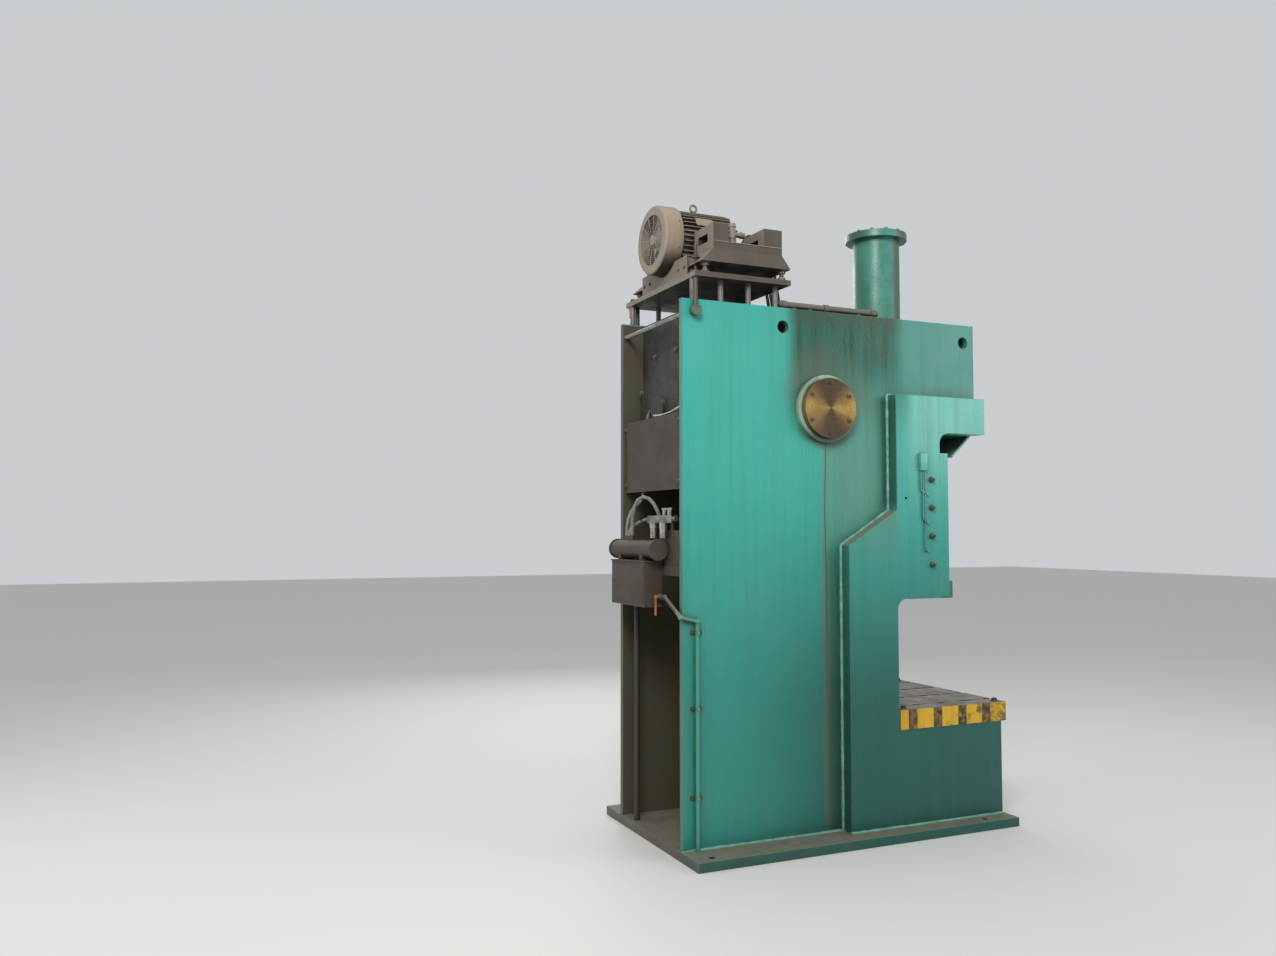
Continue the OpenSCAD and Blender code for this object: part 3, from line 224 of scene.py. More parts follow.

# %% [markdown]
# Dirt gathers where surfaces meet, and grease holds it there. The Ambient Occlusion node measures how
# much of the sky a point can see; corners see little of it, so the mask darkens them as dirt and as
# painted shade. Streaks run straight down, so their noise is stretched along Z. Dust lies on what faces up.

# %% Group: dirt and painted shade in corners
# The corner mask is dirt and painted shade: it darkens where the sky is hidden.
t, given, result = new_group("corner_dirt_and_shade", ["Reach"], ["Mask"])
sky = node(t, "ShaderNodeAmbientOcclusion", {"Distance": given["Reach"]}, samples=6)
shut = smooth(t, sky.outputs["AO"], 0.95, 0.45)
spots = smooth(t, grain_of(t, given["Place"], 7.0, 5.0), 0.25, 0.7, 0.35, 1.0)
t.links.new(maths(t, "MULTIPLY", shut, spots), result["Mask"])

# %% Group: runs down a wall
t, given, result = new_group("wall_streaks", ["Fineness"], ["Mask"])
wide = grain_of(t, given["Place"], given["Fineness"], 4.0, 0.65, (1, 1, 0.035))
fine = grain_of(t, given["Place"], maths(t, "MULTIPLY", given["Fineness"], 3.5), 2.0, 0.5, (1, 1, 0.02))
both = maths(t, "MULTIPLY", smooth(t, wide, 0.42, 0.75), smooth(t, fine, 0.3, 0.6, 0.5, 1.0))
t.links.new(both, result["Mask"])

# %% Group: dust on upward faces
t, given, result = new_group("settled_dust", ["Amount"], ["Mask"])
facing = node(t, "ShaderNodeNewGeometry")
upward = node(t, "ShaderNodeSeparateXYZ", {0: facing.outputs["Normal"]})
level = smooth(t, upward.outputs["Z"], 0.25, 0.75)
cover = smooth(t, grain_of(t, given["Place"], 11.0, 5.0), 0.2, 0.6, 0.55, 1.0)
lying = maths(t, "MULTIPLY", level, cover)
t.links.new(maths(t, "MULTIPLY", lying, given["Amount"]), result["Mask"])
print("groups:", [g.name for g in bpy.data.node_groups])


# %% [markdown]
# ## Starting a finish
# Every finish begins with the same three things: a Principled shader, the object coordinates in metres,
# and the four shared masks: corner dirt with painted shade, dust, streaks and chipped edges. It then lays
# one coat over another, each as thick as its mask says.

# %% Blank finish with its masks
finishes = {}


class Finish:
    """A material in the making, with the place on the object and the shared masks at hand."""

    def __init__(self, name, base, dirt_and_shade_reach, dust, chips, edge=0.006, streaks=14.0):
        self.name = name
        finishes[name] = bpy.data.materials.new(name)
        finishes[name].use_nodes = True
        self.tree = finishes[name].node_tree
        self.shader = self.tree.nodes["Principled BSDF"]
        self.place = node(self.tree, "ShaderNodeTexCoord").outputs["Object"]
        self.colour = base
        self.dirt_and_shade = self.group("corner_dirt_and_shade", Reach=dirt_and_shade_reach)["Mask"]
        self.dust = self.group("settled_dust", Amount=dust)["Mask"]
        self.streaks = self.group("wall_streaks", Fineness=streaks)["Mask"]
        wear = self.group("edge_chips", Reach=edge, Amount=chips)
        self.chips, self.edge = wear["Mask"], wear["Edge"]

    def group(self, name, **values):
        tree = bpy.data.node_groups[name]
        return node(self.tree, "ShaderNodeGroup", {"Place": self.place, **values}, node_tree=tree).outputs

    def axes(self, vector=None):
        """X, Y and Z of the place, or of another vector."""
        return node(self.tree, "ShaderNodeSeparateXYZ", {0: vector or self.place}).outputs

    def normal_axes(self):
        """X, Y and Z of the direction in which the surface faces."""
        return self.axes(node(self.tree, "ShaderNodeNewGeometry").outputs["Normal"])

    def from_axis(self, axis_y, axis_z):
        """Distance from a line that runs along X."""
        x, y, z = self.axes()
        off = node(self.tree, "ShaderNodeCombineXYZ", {1: self.less(y, axis_y), 2: self.less(z, axis_z)})
        length = node(self.tree, "ShaderNodeVectorMath", {0: off.outputs[0]}, operation="LENGTH")
        return length.outputs["Value"]

    def noise(self, scale, detail=3.0, roughness=0.6, stretch=(1, 1, 1)):
        return grain_of(self.tree, self.place, scale, detail, roughness, stretch)

    def soft(self, value, low, high, out_low=0.0, out_high=1.0):
        return smooth(self.tree, value, low, high, out_low, out_high)

    def times(self, first, *others):
        """The product of masks and numbers."""
        for other in others:
            first = maths(self.tree, "MULTIPLY", first, other)
        return first

    def plus(self, first, second, clamp=False):
        return maths(self.tree, "ADD", first, second, clamp)

    def less(self, first, second, clamp=False):
        return maths(self.tree, "SUBTRACT", first, second, clamp)

    def size(self, value):
        return maths(self.tree, "ABSOLUTE", value)

    def lay(self, share, paint, strength=None):
        """One more coat: the paint covers what is there where share is 1, or as far as strength lets it."""
        if strength is not None:
            share = self.times(share, strength)
        self.colour = mix(self.tree, share, self.colour, paint)

    def put(self, roughness, height, depth, **fixed):
        """Joins the coats, the roughness and the relief to the shader."""
        bump = node(self.tree, "ShaderNodeBump", {"Height": height, "Distance": depth, "Strength": 1.0})
        self.tree.links.new(self.colour, self.shader.inputs["Base Color"])
        self.tree.links.new(roughness, self.shader.inputs["Roughness"])
        self.tree.links.new(bump.outputs[0], self.shader.inputs["Normal"])
        for key, value in fixed.items():
            self.shader.inputs[key.replace("_", " ")].default_value = value
        print("finish", self.name, len(self.tree.nodes), "nodes")


def rgb(red, green, blue):
    """A colour as a picture shows it, 0 to 255, made linear for the shader."""
    def linear(v):
        v = v / 255
        return v / 12.92 if v <= 0.04045 else ((v + 0.055) / 1.055) ** 2.4
    return (linear(red), linear(green), linear(blue), 1.0)


# %% [markdown]
# ## Machine enamel
# The frame wears thick teal enamel, which is never one colour: it fades in patches, the upper slabs carry a
# painted highlight, and the lower half carries painted shade. The masks are soft steps on Y and Z, because
# marks belong to places on the frame and not to single plates.

# %% Fading, painted light and painted shade
CAP_Y, CAP_Z = 0.110, 2.909
OIL_Z, SLAB_TOP = 3.02, 3.03


def fade_and_painted_light(f, faded):
    x, y, z = f.axes()
    f.lay(f.soft(f.noise(1.3, 4.0), 0.35, 0.7), faded, 0.4)
    slab_end = f.soft(z, SLAB_TOP + 0.01, SLAB_TOP - 0.01)
    # Painted light: the upper slabs are lighter where the light falls on them.
    f.lay(f.times(f.soft(z, 2.1, 2.9), f.soft(y, -0.42, -0.62), slab_end, 0.5), rgb(140, 200, 186))
    # Painted shade: the lower half is darker, most of all towards the front.
    f.lay(f.times(f.soft(z, 2.7, 0.7), f.soft(y, 1.0, -0.2, 0.5, 1.0)), rgb(16, 80, 72))
    # Painted shade on the crown just above the slab's top at the front.
    over_slab = f.soft(z, SLAB_TOP - 0.01, SLAB_TOP + 0.03)
    f.lay(f.times(over_slab, f.soft(y, -0.48, -0.56), 0.5), rgb(80, 108, 98))


# %% [markdown]
# Oil is the strongest mark. It runs down from the drive, leaves a brown rim on the top edge, surrounds
# the bronze cap and trickles from it in a thin line. Noise added to the line's Y makes it wander.

# %% Oil on the crown and round the cap
def oil_crown(f, oil):
    """Green-brown runs under the platform; returns where they are, because oil also shines."""
    x, y, z = f.axes()
    under_platform = f.times(f.soft(y, -0.58, -0.46), f.soft(y, 0.46, 0.3))
    runs = f.times(under_platform, f.soft(z, 2.65, 3.35), f.soft(f.streaks, 0.0, 0.7, 0.82, 1.0))
    f.lay(runs, rgb(10, 58, 34), oil)
    f.lay(f.times(under_platform, f.soft(z, 3.4, 3.57), 0.5 * oil), rgb(46, 56, 30))
    veil = f.times(f.soft(y, 0.16, 0.02), f.soft(y, -0.44, -0.38), f.soft(z, 1.7, 2.3), f.soft(z, 3.2, 2.9))
    f.lay(veil, rgb(92, 112, 98), 0.5 * oil)
    cloud = f.soft(f.noise(5.0, 5.0), 0.3, 0.6, 0.45, 1.0)
    f.lay(f.times(f.soft(f.from_axis(CAP_Y, OIL_Z), 0.42, 0.2), cloud, 0.6 * oil), rgb(82, 88, 66))
    return runs


def oil_drips(f, oil):
    """The oil smear and thin oil line below the cap, and a painted shadow under the ring round it."""
    x, y, z = f.axes()
    wander = f.times(f.less(f.noise(2.0, 2.0, 0.5, (1, 1, 0.6)), 0.5), 0.05)
    off = f.size(f.less(f.plus(y, wander), CAP_Y))
    below_cap = f.soft(z, 2.8, 2.68)
    f.lay(f.times(f.soft(off, 0.05, 0.0), below_cap, 0.45 * oil), rgb(98, 102, 68))
    # Painted shadow below the pale ring round the cap.
    painted_ring_shadow = f.times(f.soft(f.from_axis(CAP_Y, CAP_Z), 0.29, 0.235), f.soft(z, 2.82, 2.7))
    f.lay(painted_ring_shadow, rgb(46, 58, 47), 0.75)
    f.lay(f.times(f.soft(off, 0.007, 0.003), f.soft(z, 0.4, 1.2), below_cap, 0.7 * oil), rgb(60, 54, 34))


# %% [markdown]
# Grease blotches the tank, and the tank's far side carries painted shade. The paint is darker in bands
# beside the slab's step and down the slab's edge below it. Inside the frame and on its rear edges nobody
# wiped the oil mist off, so the paint has turned grey-brown there.

# %% Tank, corners and inner faces
def tank_shade_and_dark_bands(f, oil):
    x, y, z = f.axes()
    on_tank = f.soft(z, 3.59, 3.62)
    f.lay(f.times(on_tank, f.soft(f.noise(7.0, 5.0, 0.7), 0.4, 0.65, 0.0, 0.55)), rgb(52, 104, 84))
    # Painted shade on the tank's far side.
    f.lay(f.times(on_tank, f.soft(y, -0.69, -0.76, 0.0, 0.8)), rgb(56, 76, 58))
    # Darker bands on the side plate beside the slab's lower edge and beside its step.
    slab_edge = f.times(f.soft(y, -0.03, 0.0), f.soft(y, 0.17, 0.06), f.soft(z, 2.2, 1.75),
                        f.soft(f.streaks, 0.0, 0.6, 0.6, 1.0))
    f.lay(slab_edge, rgb(38, 58, 44), 0.8 * oil)
    beside_step = f.times(f.soft(y, -0.42, -0.41), f.soft(y, -0.34, -0.375), f.soft(z, 2.2, 2.3),
                          f.soft(z, SLAB_TOP, 2.98))
    f.lay(beside_step, rgb(28, 74, 62), 0.75 * oil)


def brown_inside(f):
    x, y, z = f.axes()
    inside = f.times(f.soft(f.size(x), 0.47, 0.462), f.soft(y, -0.78, -0.77), f.soft(z, 3.575, 3.57))
    f.lay(f.times(inside, f.soft(f.noise(3.0, 5.0), 0.3, 0.7, 0.93, 1.0)), rgb(76, 68, 52))
    f.lay(f.times(f.soft(y, 1.192, 1.198), f.soft(x, -0.45, 0.45, 0.4, 0.97)), rgb(80, 74, 60))


# %% Teal paint
def machine_enamel(name, base, faded, oil=1.0):
    f = Finish(name, base, dirt_and_shade_reach=0.13, dust=0.85, chips=0.55)
    fade_and_painted_light(f, faded)
    runs = oil_crown(f, oil)
    oil_drips(f, oil)
    tank_shade_and_dark_bands(f, oil)
    f.lay(f.streaks, rgb(46, 98, 80), 0.28)
    # Dirt and painted shade in the corners.
    f.lay(f.dirt_and_shade, rgb(30, 50, 42), 0.62)
    brown_inside(f)
    f.lay(f.dust, rgb(112, 106, 92))
    f.lay(f.soft(f.noise(26.0, 6.0, 0.75, (1, 1, 0.7)), 0.69, 0.74), rgb(58, 84, 74), 0.35)
    # Painted highlight along the edges.
    f.lay(f.edge, rgb(118, 158, 142), 0.35)
    f.lay(f.chips, rgb(74, 66, 54), 0.75)
    rough = f.plus(f.soft(f.noise(3.0, 4.0), 0.3, 0.7, 0.34, 0.5), f.times(f.dust, 0.4))
    rough = f.less(rough, f.times(runs, 0.12), clamp=True)
    peel = f.plus(f.times(f.noise(55.0, 2.0), 0.35), f.times(f.noise(2.2, 2.0), 0.9))
    f.put(rough, peel, 0.004)


machine_enamel("teal_paint", rgb(44, 156, 142), rgb(72, 164, 150))
# dull_paint is the enamel darkened for the frame's inner parts, as dirt and as painted shade.
machine_enamel("dull_paint", rgb(44, 78, 66), rgb(58, 84, 72), 0.3)
machine_enamel("pale_green_paint", rgb(166, 196, 170), rgb(146, 176, 152), 0.1)
machine_enamel("slide_paint", rgb(50, 146, 132), rgb(74, 152, 138), 0.4)


# %% [markdown]
# ## Dusty platform paint
# The motor and its platform stand under the roof, where years of dust have turned their grey paint
# brown. Dust lies thick and matt on every upward face; undersides carry a near-black painted shade, and
# faces turned to the rear a painted daylight. The pipes change colour on their way: grey on the crown,
# brown in the opening.

# %% Platform, motor, pipe and box paint
def dusty_paint(name, base, shade, rust=0.3, dusty=rgb(120, 110, 96), on_crown=None, darker_below=0.0):
    f = Finish(name, base, dirt_and_shade_reach=0.08, dust=0.9, chips=0.45, edge=0.004, streaks=18.0)
    x, y, z = f.axes()
    f.lay(f.soft(f.noise(3.0, 5.0), 0.3, 0.7), shade)
    if on_crown is not None:
        f.lay(f.soft(x, -0.475, -0.465, 0.0, 0.95), rgb(44, 38, 30))
        f.lay(f.soft(z, 3.5, 3.55), on_crown)
    f.lay(f.streaks, rgb(62, 54, 46), 0.4)
    patches = f.soft(f.noise(16.0, 6.0, 0.7), 0.58, 0.7)
    f.lay(patches, rgb(92, 56, 34), rust)
    # Dirt and painted shade in the corners.
    f.lay(f.dirt_and_shade, rgb(34, 31, 28), 0.7)
    across, rearward, upward = f.normal_axes()
    # Painted shade: faces turned down are near-black.
    f.lay(f.soft(upward, -0.3, -0.9, 0.0, 0.93), rgb(12, 13, 13))
    # Painted light: faces turned to the rear are lighter on the platform.
    f.lay(f.times(f.soft(rearward, 0.3, 0.8), f.soft(z, 3.6, 3.7), 0.7), rgb(136, 126, 113))
    f.lay(f.dust, dusty, 0.9)
    # Painted highlight along the edges.
    f.lay(f.edge, rgb(146, 136, 122), 0.3)
    f.lay(f.chips, rgb(70, 48, 34), 0.8)
    # Below the platform the paint turns dark brown towards the bottom, by the amount the last argument gives.
    f.lay(f.soft(z, 3.4, 3.2, 0.0, darker_below), rgb(46, 34, 21))
    rough = f.plus(f.soft(f.noise(7.0), 0.3, 0.7, 0.5, 0.7), f.times(f.dust, 0.3), clamp=True)
    height = f.plus(f.times(f.noise(90.0, 3.0), 0.5), f.times(patches, 0.6))
    f.put(rough, height, 0.0012)


dusty_paint("platform_paint", rgb(77, 70, 61), rgb(66, 59, 51), darker_below=0.45)
dusty_paint("motor_paint", rgb(142, 128, 112), rgb(124, 111, 97), 0.15, rgb(150, 138, 122))
dusty_paint("grey_paint", rgb(82, 76, 68), rgb(68, 62, 55), darker_below=0.4)
dusty_paint("pipe_paint", rgb(54, 138, 120), rgb(76, 128, 112), 0.25, on_crown=rgb(92, 92, 83))


# %% [markdown]
# ## Bare and oily metal
# Machined steel shows fine parallel tool marks and a thin brown film where it isn't rubbed. The dark
# iron of the drive is the same idea with more oil and less shine. The steel of the platform's supports
# turns to rust further out, on the hooks and jack screws, and the hooks' eyes still have some paint.

# %% Steel and iron
def worked_metal(name, bright, film, share, rough_low, rough_high, metallic=1.0, rust_beyond=None):
    f = Finish(name, bright, dirt_and_shade_reach=0.05, dust=0.5, chips=0.6, edge=0.003)
    marks = f.noise(70.0, 2.0, 0.5, (1, 1, 0.06))
    f.lay(f.soft(f.noise(9.0, 6.0, 0.7), 0.35, 0.65), film, share)
    if rust_beyond is not None:
        x, y, z = f.axes()
        f.lay(f.soft(f.size(x), rust_beyond - 0.001, rust_beyond + 0.001, 0.0, 0.9), rgb(84, 73, 62))
        f.lay(f.soft(z, 3.54, 3.5, 0.0, 0.8), rgb(92, 115, 105))
    # Dirt and painted shade in the corners.
    f.lay(f.dirt_and_shade, rgb(26, 24, 21), 0.7)
    f.lay(f.dust, rgb(112, 102, 90), 0.8)
    f.lay(f.edge, rgb(190, 188, 182), 0.5)
    shine = f.times(f.less(1.0, f.dust), metallic)
    f.tree.links.new(shine, f.shader.inputs["Metallic"])
    f.put(f.soft(f.noise(12.0, 4.0), 0.3, 0.7, rough_low, rough_high), marks, 0.0004)


worked_metal("bare_steel", rgb(176, 176, 174), rgb(120, 104, 84), 0.75, 0.28, 0.5)
worked_metal("dark_iron", rgb(58, 60, 58), rgb(44, 40, 35), 0.8, 0.4, 0.62, 0.35)
worked_metal("support_steel", rgb(116, 118, 113), rgb(80, 78, 70), 0.6, 0.4, 0.6, 0.45, 0.5)
worked_metal("rusty_iron", rgb(92, 70, 56), rgb(66, 46, 36), 0.9, 0.6, 0.85, 0.2)


# %% [markdown]
# ## Turned bronze
# A lathe leaves fine rings on a disc, and the rings stretch each highlight into a fan. Rings come from
# the distance to the cap's centre; the fan is a painted highlight from the angle round it, light at the
# sides and dark above and below.

# %% Bronze cap
f = Finish("bronze", rgb(92, 76, 58), dirt_and_shade_reach=0.02, dust=0.3, chips=0.3, edge=0.003)
t = f.tree
x, y, z = f.axes()
angle = maths(t, "ARCTAN2", f.less(z, CAP_Z), f.less(y, CAP_Y))
# Painted highlight: a fan of light and dark from the angle round the cap's centre.
painted_fan_highlight = f.plus(f.times(maths(t, "COSINE", f.times(angle, 2.0)), 0.5), 0.5)
painted_fan_highlight = f.plus(painted_fan_highlight, f.times(f.less(f.noise(6.0, 3.0), 0.5), 0.5), clamp=True)
f.lay(f.soft(painted_fan_highlight, 0.15, 1.0), rgb(146, 118, 68))
f.lay(f.soft(painted_fan_highlight, 0.88, 1.05), rgb(190, 160, 100), 0.6)
away = f.from_axis(CAP_Y, CAP_Z)
spread = node(t, "ShaderNodeCombineXYZ", {0: f.times(away, 90.0), 1: 0.0, 2: 0.0}).outputs[0]
bands = node(t, "ShaderNodeTexNoise", {"Scale": 1.0, "Detail": 5.0, "Vector": spread}).outputs["Fac"]
f.lay(f.soft(bands, 0.45, 0.62, 0.0, 0.3), rgb(104, 84, 60))
f.lay(f.soft(f.noise(14.0, 6.0, 0.7), 0.55, 0.7), rgb(74, 62, 48), 0.35)
# Dirt and painted shade in the corners.
f.lay(f.dirt_and_shade, rgb(46, 42, 34), 0.6)
around = node(t, "ShaderNodeTangent", direction_type="RADIAL", axis="X")
t.links.new(around.outputs[0], f.shader.inputs["Tangent"])
rings = maths(t, "SINE", f.times(away, 2600.0))
f.put(f.soft(f.noise(18.0, 4.0), 0.3, 0.7, 0.26, 0.42), rings, 0.00015, Metallic=0.85, Anisotropic=0.6)

# %% [markdown]
# ## Hazard paint, rubber and plastic
# The bolster's edges carry yellow paint with black blocks, most worn at the front; its top is bare ground
# steel. One material does both: a mask on the normal's Z decides between paint and steel. Rubber and
# plastic differ only in colour and gloss, so one function makes them all.

# %% Bolster paint
BLOCK_PITCH, BLOCK_START, BLOCK_END, BLOCK_EDGE = 0.215, 0.13, 0.213, 0.008
f = Finish("hazard_paint", rgb(200, 156, 26), dirt_and_shade_reach=0.06, dust=0.25, chips=0.7)
t = f.tree
x, y, z = f.axes()
along = maths(t, "MODULO", f.plus(f.plus(x, y), 20.0), BLOCK_PITCH)
black = f.times(f.soft(along, BLOCK_START, BLOCK_START + BLOCK_EDGE),
                f.soft(along, BLOCK_END, BLOCK_END - BLOCK_EDGE))
f.lay(f.times(black, f.soft(f.noise(20.0, 5.0), 0.3, 0.6, 0.55, 1.0)), rgb(36, 34, 30))
f.lay(f.streaks, rgb(112, 84, 34), 0.5)
limit = f.soft(y, -0.85, -1.15, 0.56, 0.47)
worn = node(t, "ShaderNodeMapRange", {0: f.noise(11.0, 6.0, 0.75), 1: limit, 2: f.plus(limit, 0.1)})
f.lay(worn.outputs[0], rgb(62, 50, 38), 0.8)
level = f.soft(f.size(f.normal_axes()[2]), 0.5, 0.8)
f.lay(level, mix(t, f.soft(f.noise(6.0, 6.0, 0.7), 0.3, 0.7), rgb(134, 132, 126), rgb(86, 78, 68)))
f.lay(f.chips, rgb(110, 104, 96), 0.8)
# Dirt and painted shade in the corners.
f.lay(f.dirt_and_shade, rgb(34, 32, 27), 0.5)
t.links.new(f.times(level, 0.8), f.shader.inputs["Metallic"])
f.put(f.soft(f.noise(9.0, 4.0), 0.3, 0.7, 0.36, 0.56), f.noise(60.0, 3.0), 0.0006)


# %% Rubber, hoses and plastics
def moulded(name, base, worn, rough, coat=0.0):
    f = Finish(name, base, dirt_and_shade_reach=0.03, dust=0.55, chips=0.2, edge=0.002)
    f.lay(f.soft(f.noise(14.0, 5.0), 0.35, 0.7), worn)
    # Dirt and painted shade in the corners.
    f.lay(f.dirt_and_shade, rgb(24, 23, 21), 0.55)
    f.lay(f.dust, rgb(126, 118, 106), 0.6)
    f.put(f.soft(f.noise(25.0, 3.0), 0.3, 0.7, rough, rough + 0.14), f.noise(140.0, 2.0), 0.0003,
          Coat_Weight=coat)


moulded("rubber", rgb(30, 30, 30), rgb(48, 46, 43), 0.62)
moulded("hose_rubber", rgb(122, 120, 114), rgb(98, 95, 90), 0.5)
moulded("cable_rubber", rgb(188, 184, 174), rgb(150, 145, 136), 0.5)
moulded("black_cable", rgb(36, 36, 36), rgb(58, 55, 51), 0.5)
moulded("orange_plastic", rgb(168, 106, 58), rgb(140, 88, 52), 0.45, 0.1)
moulded("lamp_plastic", rgb(236, 106, 62), rgb(214, 84, 50), 0.22, 0.4)
moulded("green_plastic", rgb(40, 130, 66), rgb(34, 104, 56), 0.26, 0.4)
moulded("red_plastic", rgb(196, 34, 30), rgb(160, 30, 28), 0.26, 0.4)

# %% [markdown]
# ## Handing out the finishes
# Each CAD part names the material slot that it takes its finish from, and the finishes above bear the
# names of these slots. A loop puts them on the parts' own mesh slots, and touches nothing else. The
# supports of the motor platform get a lighter steel of their own.

# %% Finish for every CAD part
def dress(part_name, finish):
    slots = frame["nodes"][part_name].data.materials
    if not slots:
        slots.append(None)
    for i in range(len(slots)):
        slots[i] = finishes[finish]


for part in frame["record"]["subparts"]:
    dress(part["node"], part["material_slot"])
dress("motor_supports", "support_steel")

# %% [markdown]
# ## Shapes for small pieces
# Bolts, welds, clamps and cables are too many and too small for the CAD model. Each one is made where it
# belongs, because a finished piece keeps its object at the origin. A helper adds one shape to an open
# mesh, so a whole set of bolts becomes one piece.

# %% Bars, blocks and bolts
UP, FRONT, REAR = (0, 0, 1), (0, -1, 0), (0, 1, 0)


def facing(place, axis):
    """A matrix that carries the origin to a place and +Z to an axis."""
    turn = Vector(UP).rotation_difference(Vector(axis)).to_matrix().to_4x4()
    return Matrix.Translation(Vector(place)) @ turn


def add_bar(bm, start, end, radius, end_radius=None, segments=20):
    """A round bar from start to end, or a cone where the end has its own radius."""
    start, end = Vector(start), Vector(end)
    made = bmesh.ops.create_cone(
        bm, cap_ends=True, segments=segments, radius1=radius,
        radius2=radius if end_radius is None else end_radius, depth=(end - start).length,
        matrix=facing((start + end) / 2, end - start))
    return made["verts"]


def only(kind, geom):
    """The vertices or the edges among what an operator made."""
    return [item for item in geom if isinstance(item, kind)]


def edges_of(verts):
    return list({edge for vert in verts for edge in vert.link_edges})


def soften(bm, edges, width, segments=1):
    bmesh.ops.bevel(bm, geom=edges, offset=width, segments=segments, profile=0.5, affect="EDGES", material=-1)


def add_block(bm, low, high, soft=0.002):
    """A box between two corners with softened edges."""
    low, high = Vector(low), Vector(high)
    place = Matrix.Translation((low + high) / 2) @ Matrix.Diagonal((*(high - low), 1.0))
    made = bmesh.ops.create_cube(bm, size=1.0, matrix=place)
    soften(bm, edges_of(made["verts"]), soft, 2)


WASHER = 0.003


def add_bolt(bm, place, axis, across, height, washer=True):
    """A hexagon head with a broken edge, on a washer that sits at the place."""
    seat, axis = Vector(place), Vector(axis).normalized()
    if washer:
        add_bar(bm, seat, seat + WASHER * axis, across * 0.8, segments=18)
        seat = seat + WASHER * axis
    head = add_bar(bm, seat, seat + height * axis, across / math.sqrt(3), segments=6)
    rim = [edge for edge in edges_of(head) if all((v.co - seat).dot(axis) > height / 2 for v in edge.verts)]
    soften(bm, rim, across * 0.07)


def add_turned(bm, centre, axis, profile, steps):
    """A closed profile of (radius, height) points spun round an axis."""
    stand = facing(centre, axis)
    verts = [bm.verts.new(stand @ Vector((radius, 0, height))) for radius, height in profile]
    edges = [bm.edges.new(pair) for pair in zip(verts, verts[1:] + verts[:1])]
    bmesh.ops.spin(bm, geom=verts + edges, cent=Vector(centre), axis=stand.to_3x3() @ Vector(UP),
                   angle=2 * math.pi, steps=steps, use_merge=True, use_duplicate=False)


def ray(degrees):
    """A direction seen from the front: 0 degrees is +X and 90 degrees is up."""
    return Vector((math.cos(math.radians(degrees)), 0, math.sin(math.radians(degrees))))


RING_OF_8 = [22.5 + 45 * i for i in range(8)]

# %% [markdown]
# A tube is a ring of edges that is pulled from point to point and turned a little at each one. A weld
# bead is made the same way, in short runs: the ring swells and shrinks in turn, as the ripples of a weld
# do, and noise makes it uneven.

# %% Tubes and weld beads
def add_tube(bm, route, radius, segments=10, swell=None):
    """A tube along a route; swell gives how much thicker it is at each point."""
    route = [Vector(point) for point in route]
    ways = [(b - a).normalized() for a, b in zip(route, route[1:])]
    ways = [ways[0]] + [(a + b).normalized() for a, b in zip(ways, ways[1:])] + [ways[-1]]
    swell = swell or [1.0] * len(route)
    ring = bmesh.ops.create_circle(bm, cap_ends=True, segments=segments, radius=radius * swell[0],
                                   matrix=facing(route[0], ways[0]))["verts"]
    edges = edges_of(ring)
    for i in range(1, len(route)):
        pulled = bmesh.ops.extrude_edge_only(bm, edges=edges)["geom"]
        ring = set(only(bmesh.types.BMVert, pulled))
        edges = [edge for edge in only(bmesh.types.BMEdge, pulled) if ring.issuperset(edge.verts)]
        turn = ways[i - 1].rotation_difference(ways[i]).to_matrix().to_4x4()
        grow = Matrix.Scale(swell[i] / swell[i - 1], 4)
        move = Matrix.Translation(route[i]) @ turn @ grow @ Matrix.Translation(-route[i - 1])
        bmesh.ops.transform(bm, matrix=move, verts=list(ring))
    bmesh.ops.contextual_create(bm, geom=edges)


def hanging(start, end, sag, count):
    """Points of a cable held at both ends, hanging in a shallow curve between them."""
    shares = [i / count for i in range(count + 1)]
    return [start.lerp(end, t) + Vector((0, 0, -4 * sag * t * (1 - t))) for t in shares]


RIPPLE, RUN = 0.009, 0.24


def add_bead(bm, start, end, radius):
    """One straight weld, laid in runs; each run is made in a mesh of its own, which is quicker."""
    start, end = Vector(start), Vector(end)
    runs = max(1, round((end - start).length / RUN))
    for i in range(runs):
        low, high = start.lerp(end, i / runs), start.lerp(end, (i + 1.02) / runs)
        cuts = 2 * max(2, round((high - low).length / RIPPLE))
        route = [low.lerp(high, k / cuts) for k in range(cuts + 1)]
        swell = [0.94 + 0.14 * (k % 2) + 0.3 * noise.noise(point * 21) for k, point in enumerate(route)]
        run = bmesh.new()
        add_tube(run, route, radius, 8, swell)
        laid = bpy.data.meshes.new("weld_run")
        run.to_mesh(laid)
        run.free()
        bm.from_mesh(laid)
        bpy.data.meshes.remove(laid)


# %% Close a mesh and make it a piece
def piece(name, bm, slot, finish=None, body="frame", sharp=35):
    """Turns the open mesh into an object that rides on a body, with its slot's finish or one of its own."""
    bmesh.ops.remove_doubles(bm, verts=bm.verts, dist=0.00001)
    bmesh.ops.recalc_face_normals(bm, faces=bm.faces)
    mesh = bpy.data.meshes.new(name)
    bm.to_mesh(mesh)
    bm.free()
    mesh.shade_smooth()
    mesh.set_sharp_from_angle(angle=math.radians(sharp))
    mesh.materials.append(finishes[finish or slot])
    made = linked(name, mesh)
    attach(made, body)
    print(name, len(mesh.polygons), "faces")
    return made


def corners(name):
    """Lowest and highest corner of a CAD part, as vectors."""
    low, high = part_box(name)
    return Vector(low), Vector(high)


# %% [markdown]
# ## Welds
# The thick front slab lies flat on the side plate, held by a fillet weld along its outline, and the
# plates are welded to the base. The bead stands proud and is rubbed, so its paint is rougher; it is paler
# partly as rubbed paint and partly as a painted highlight where it catches the light.

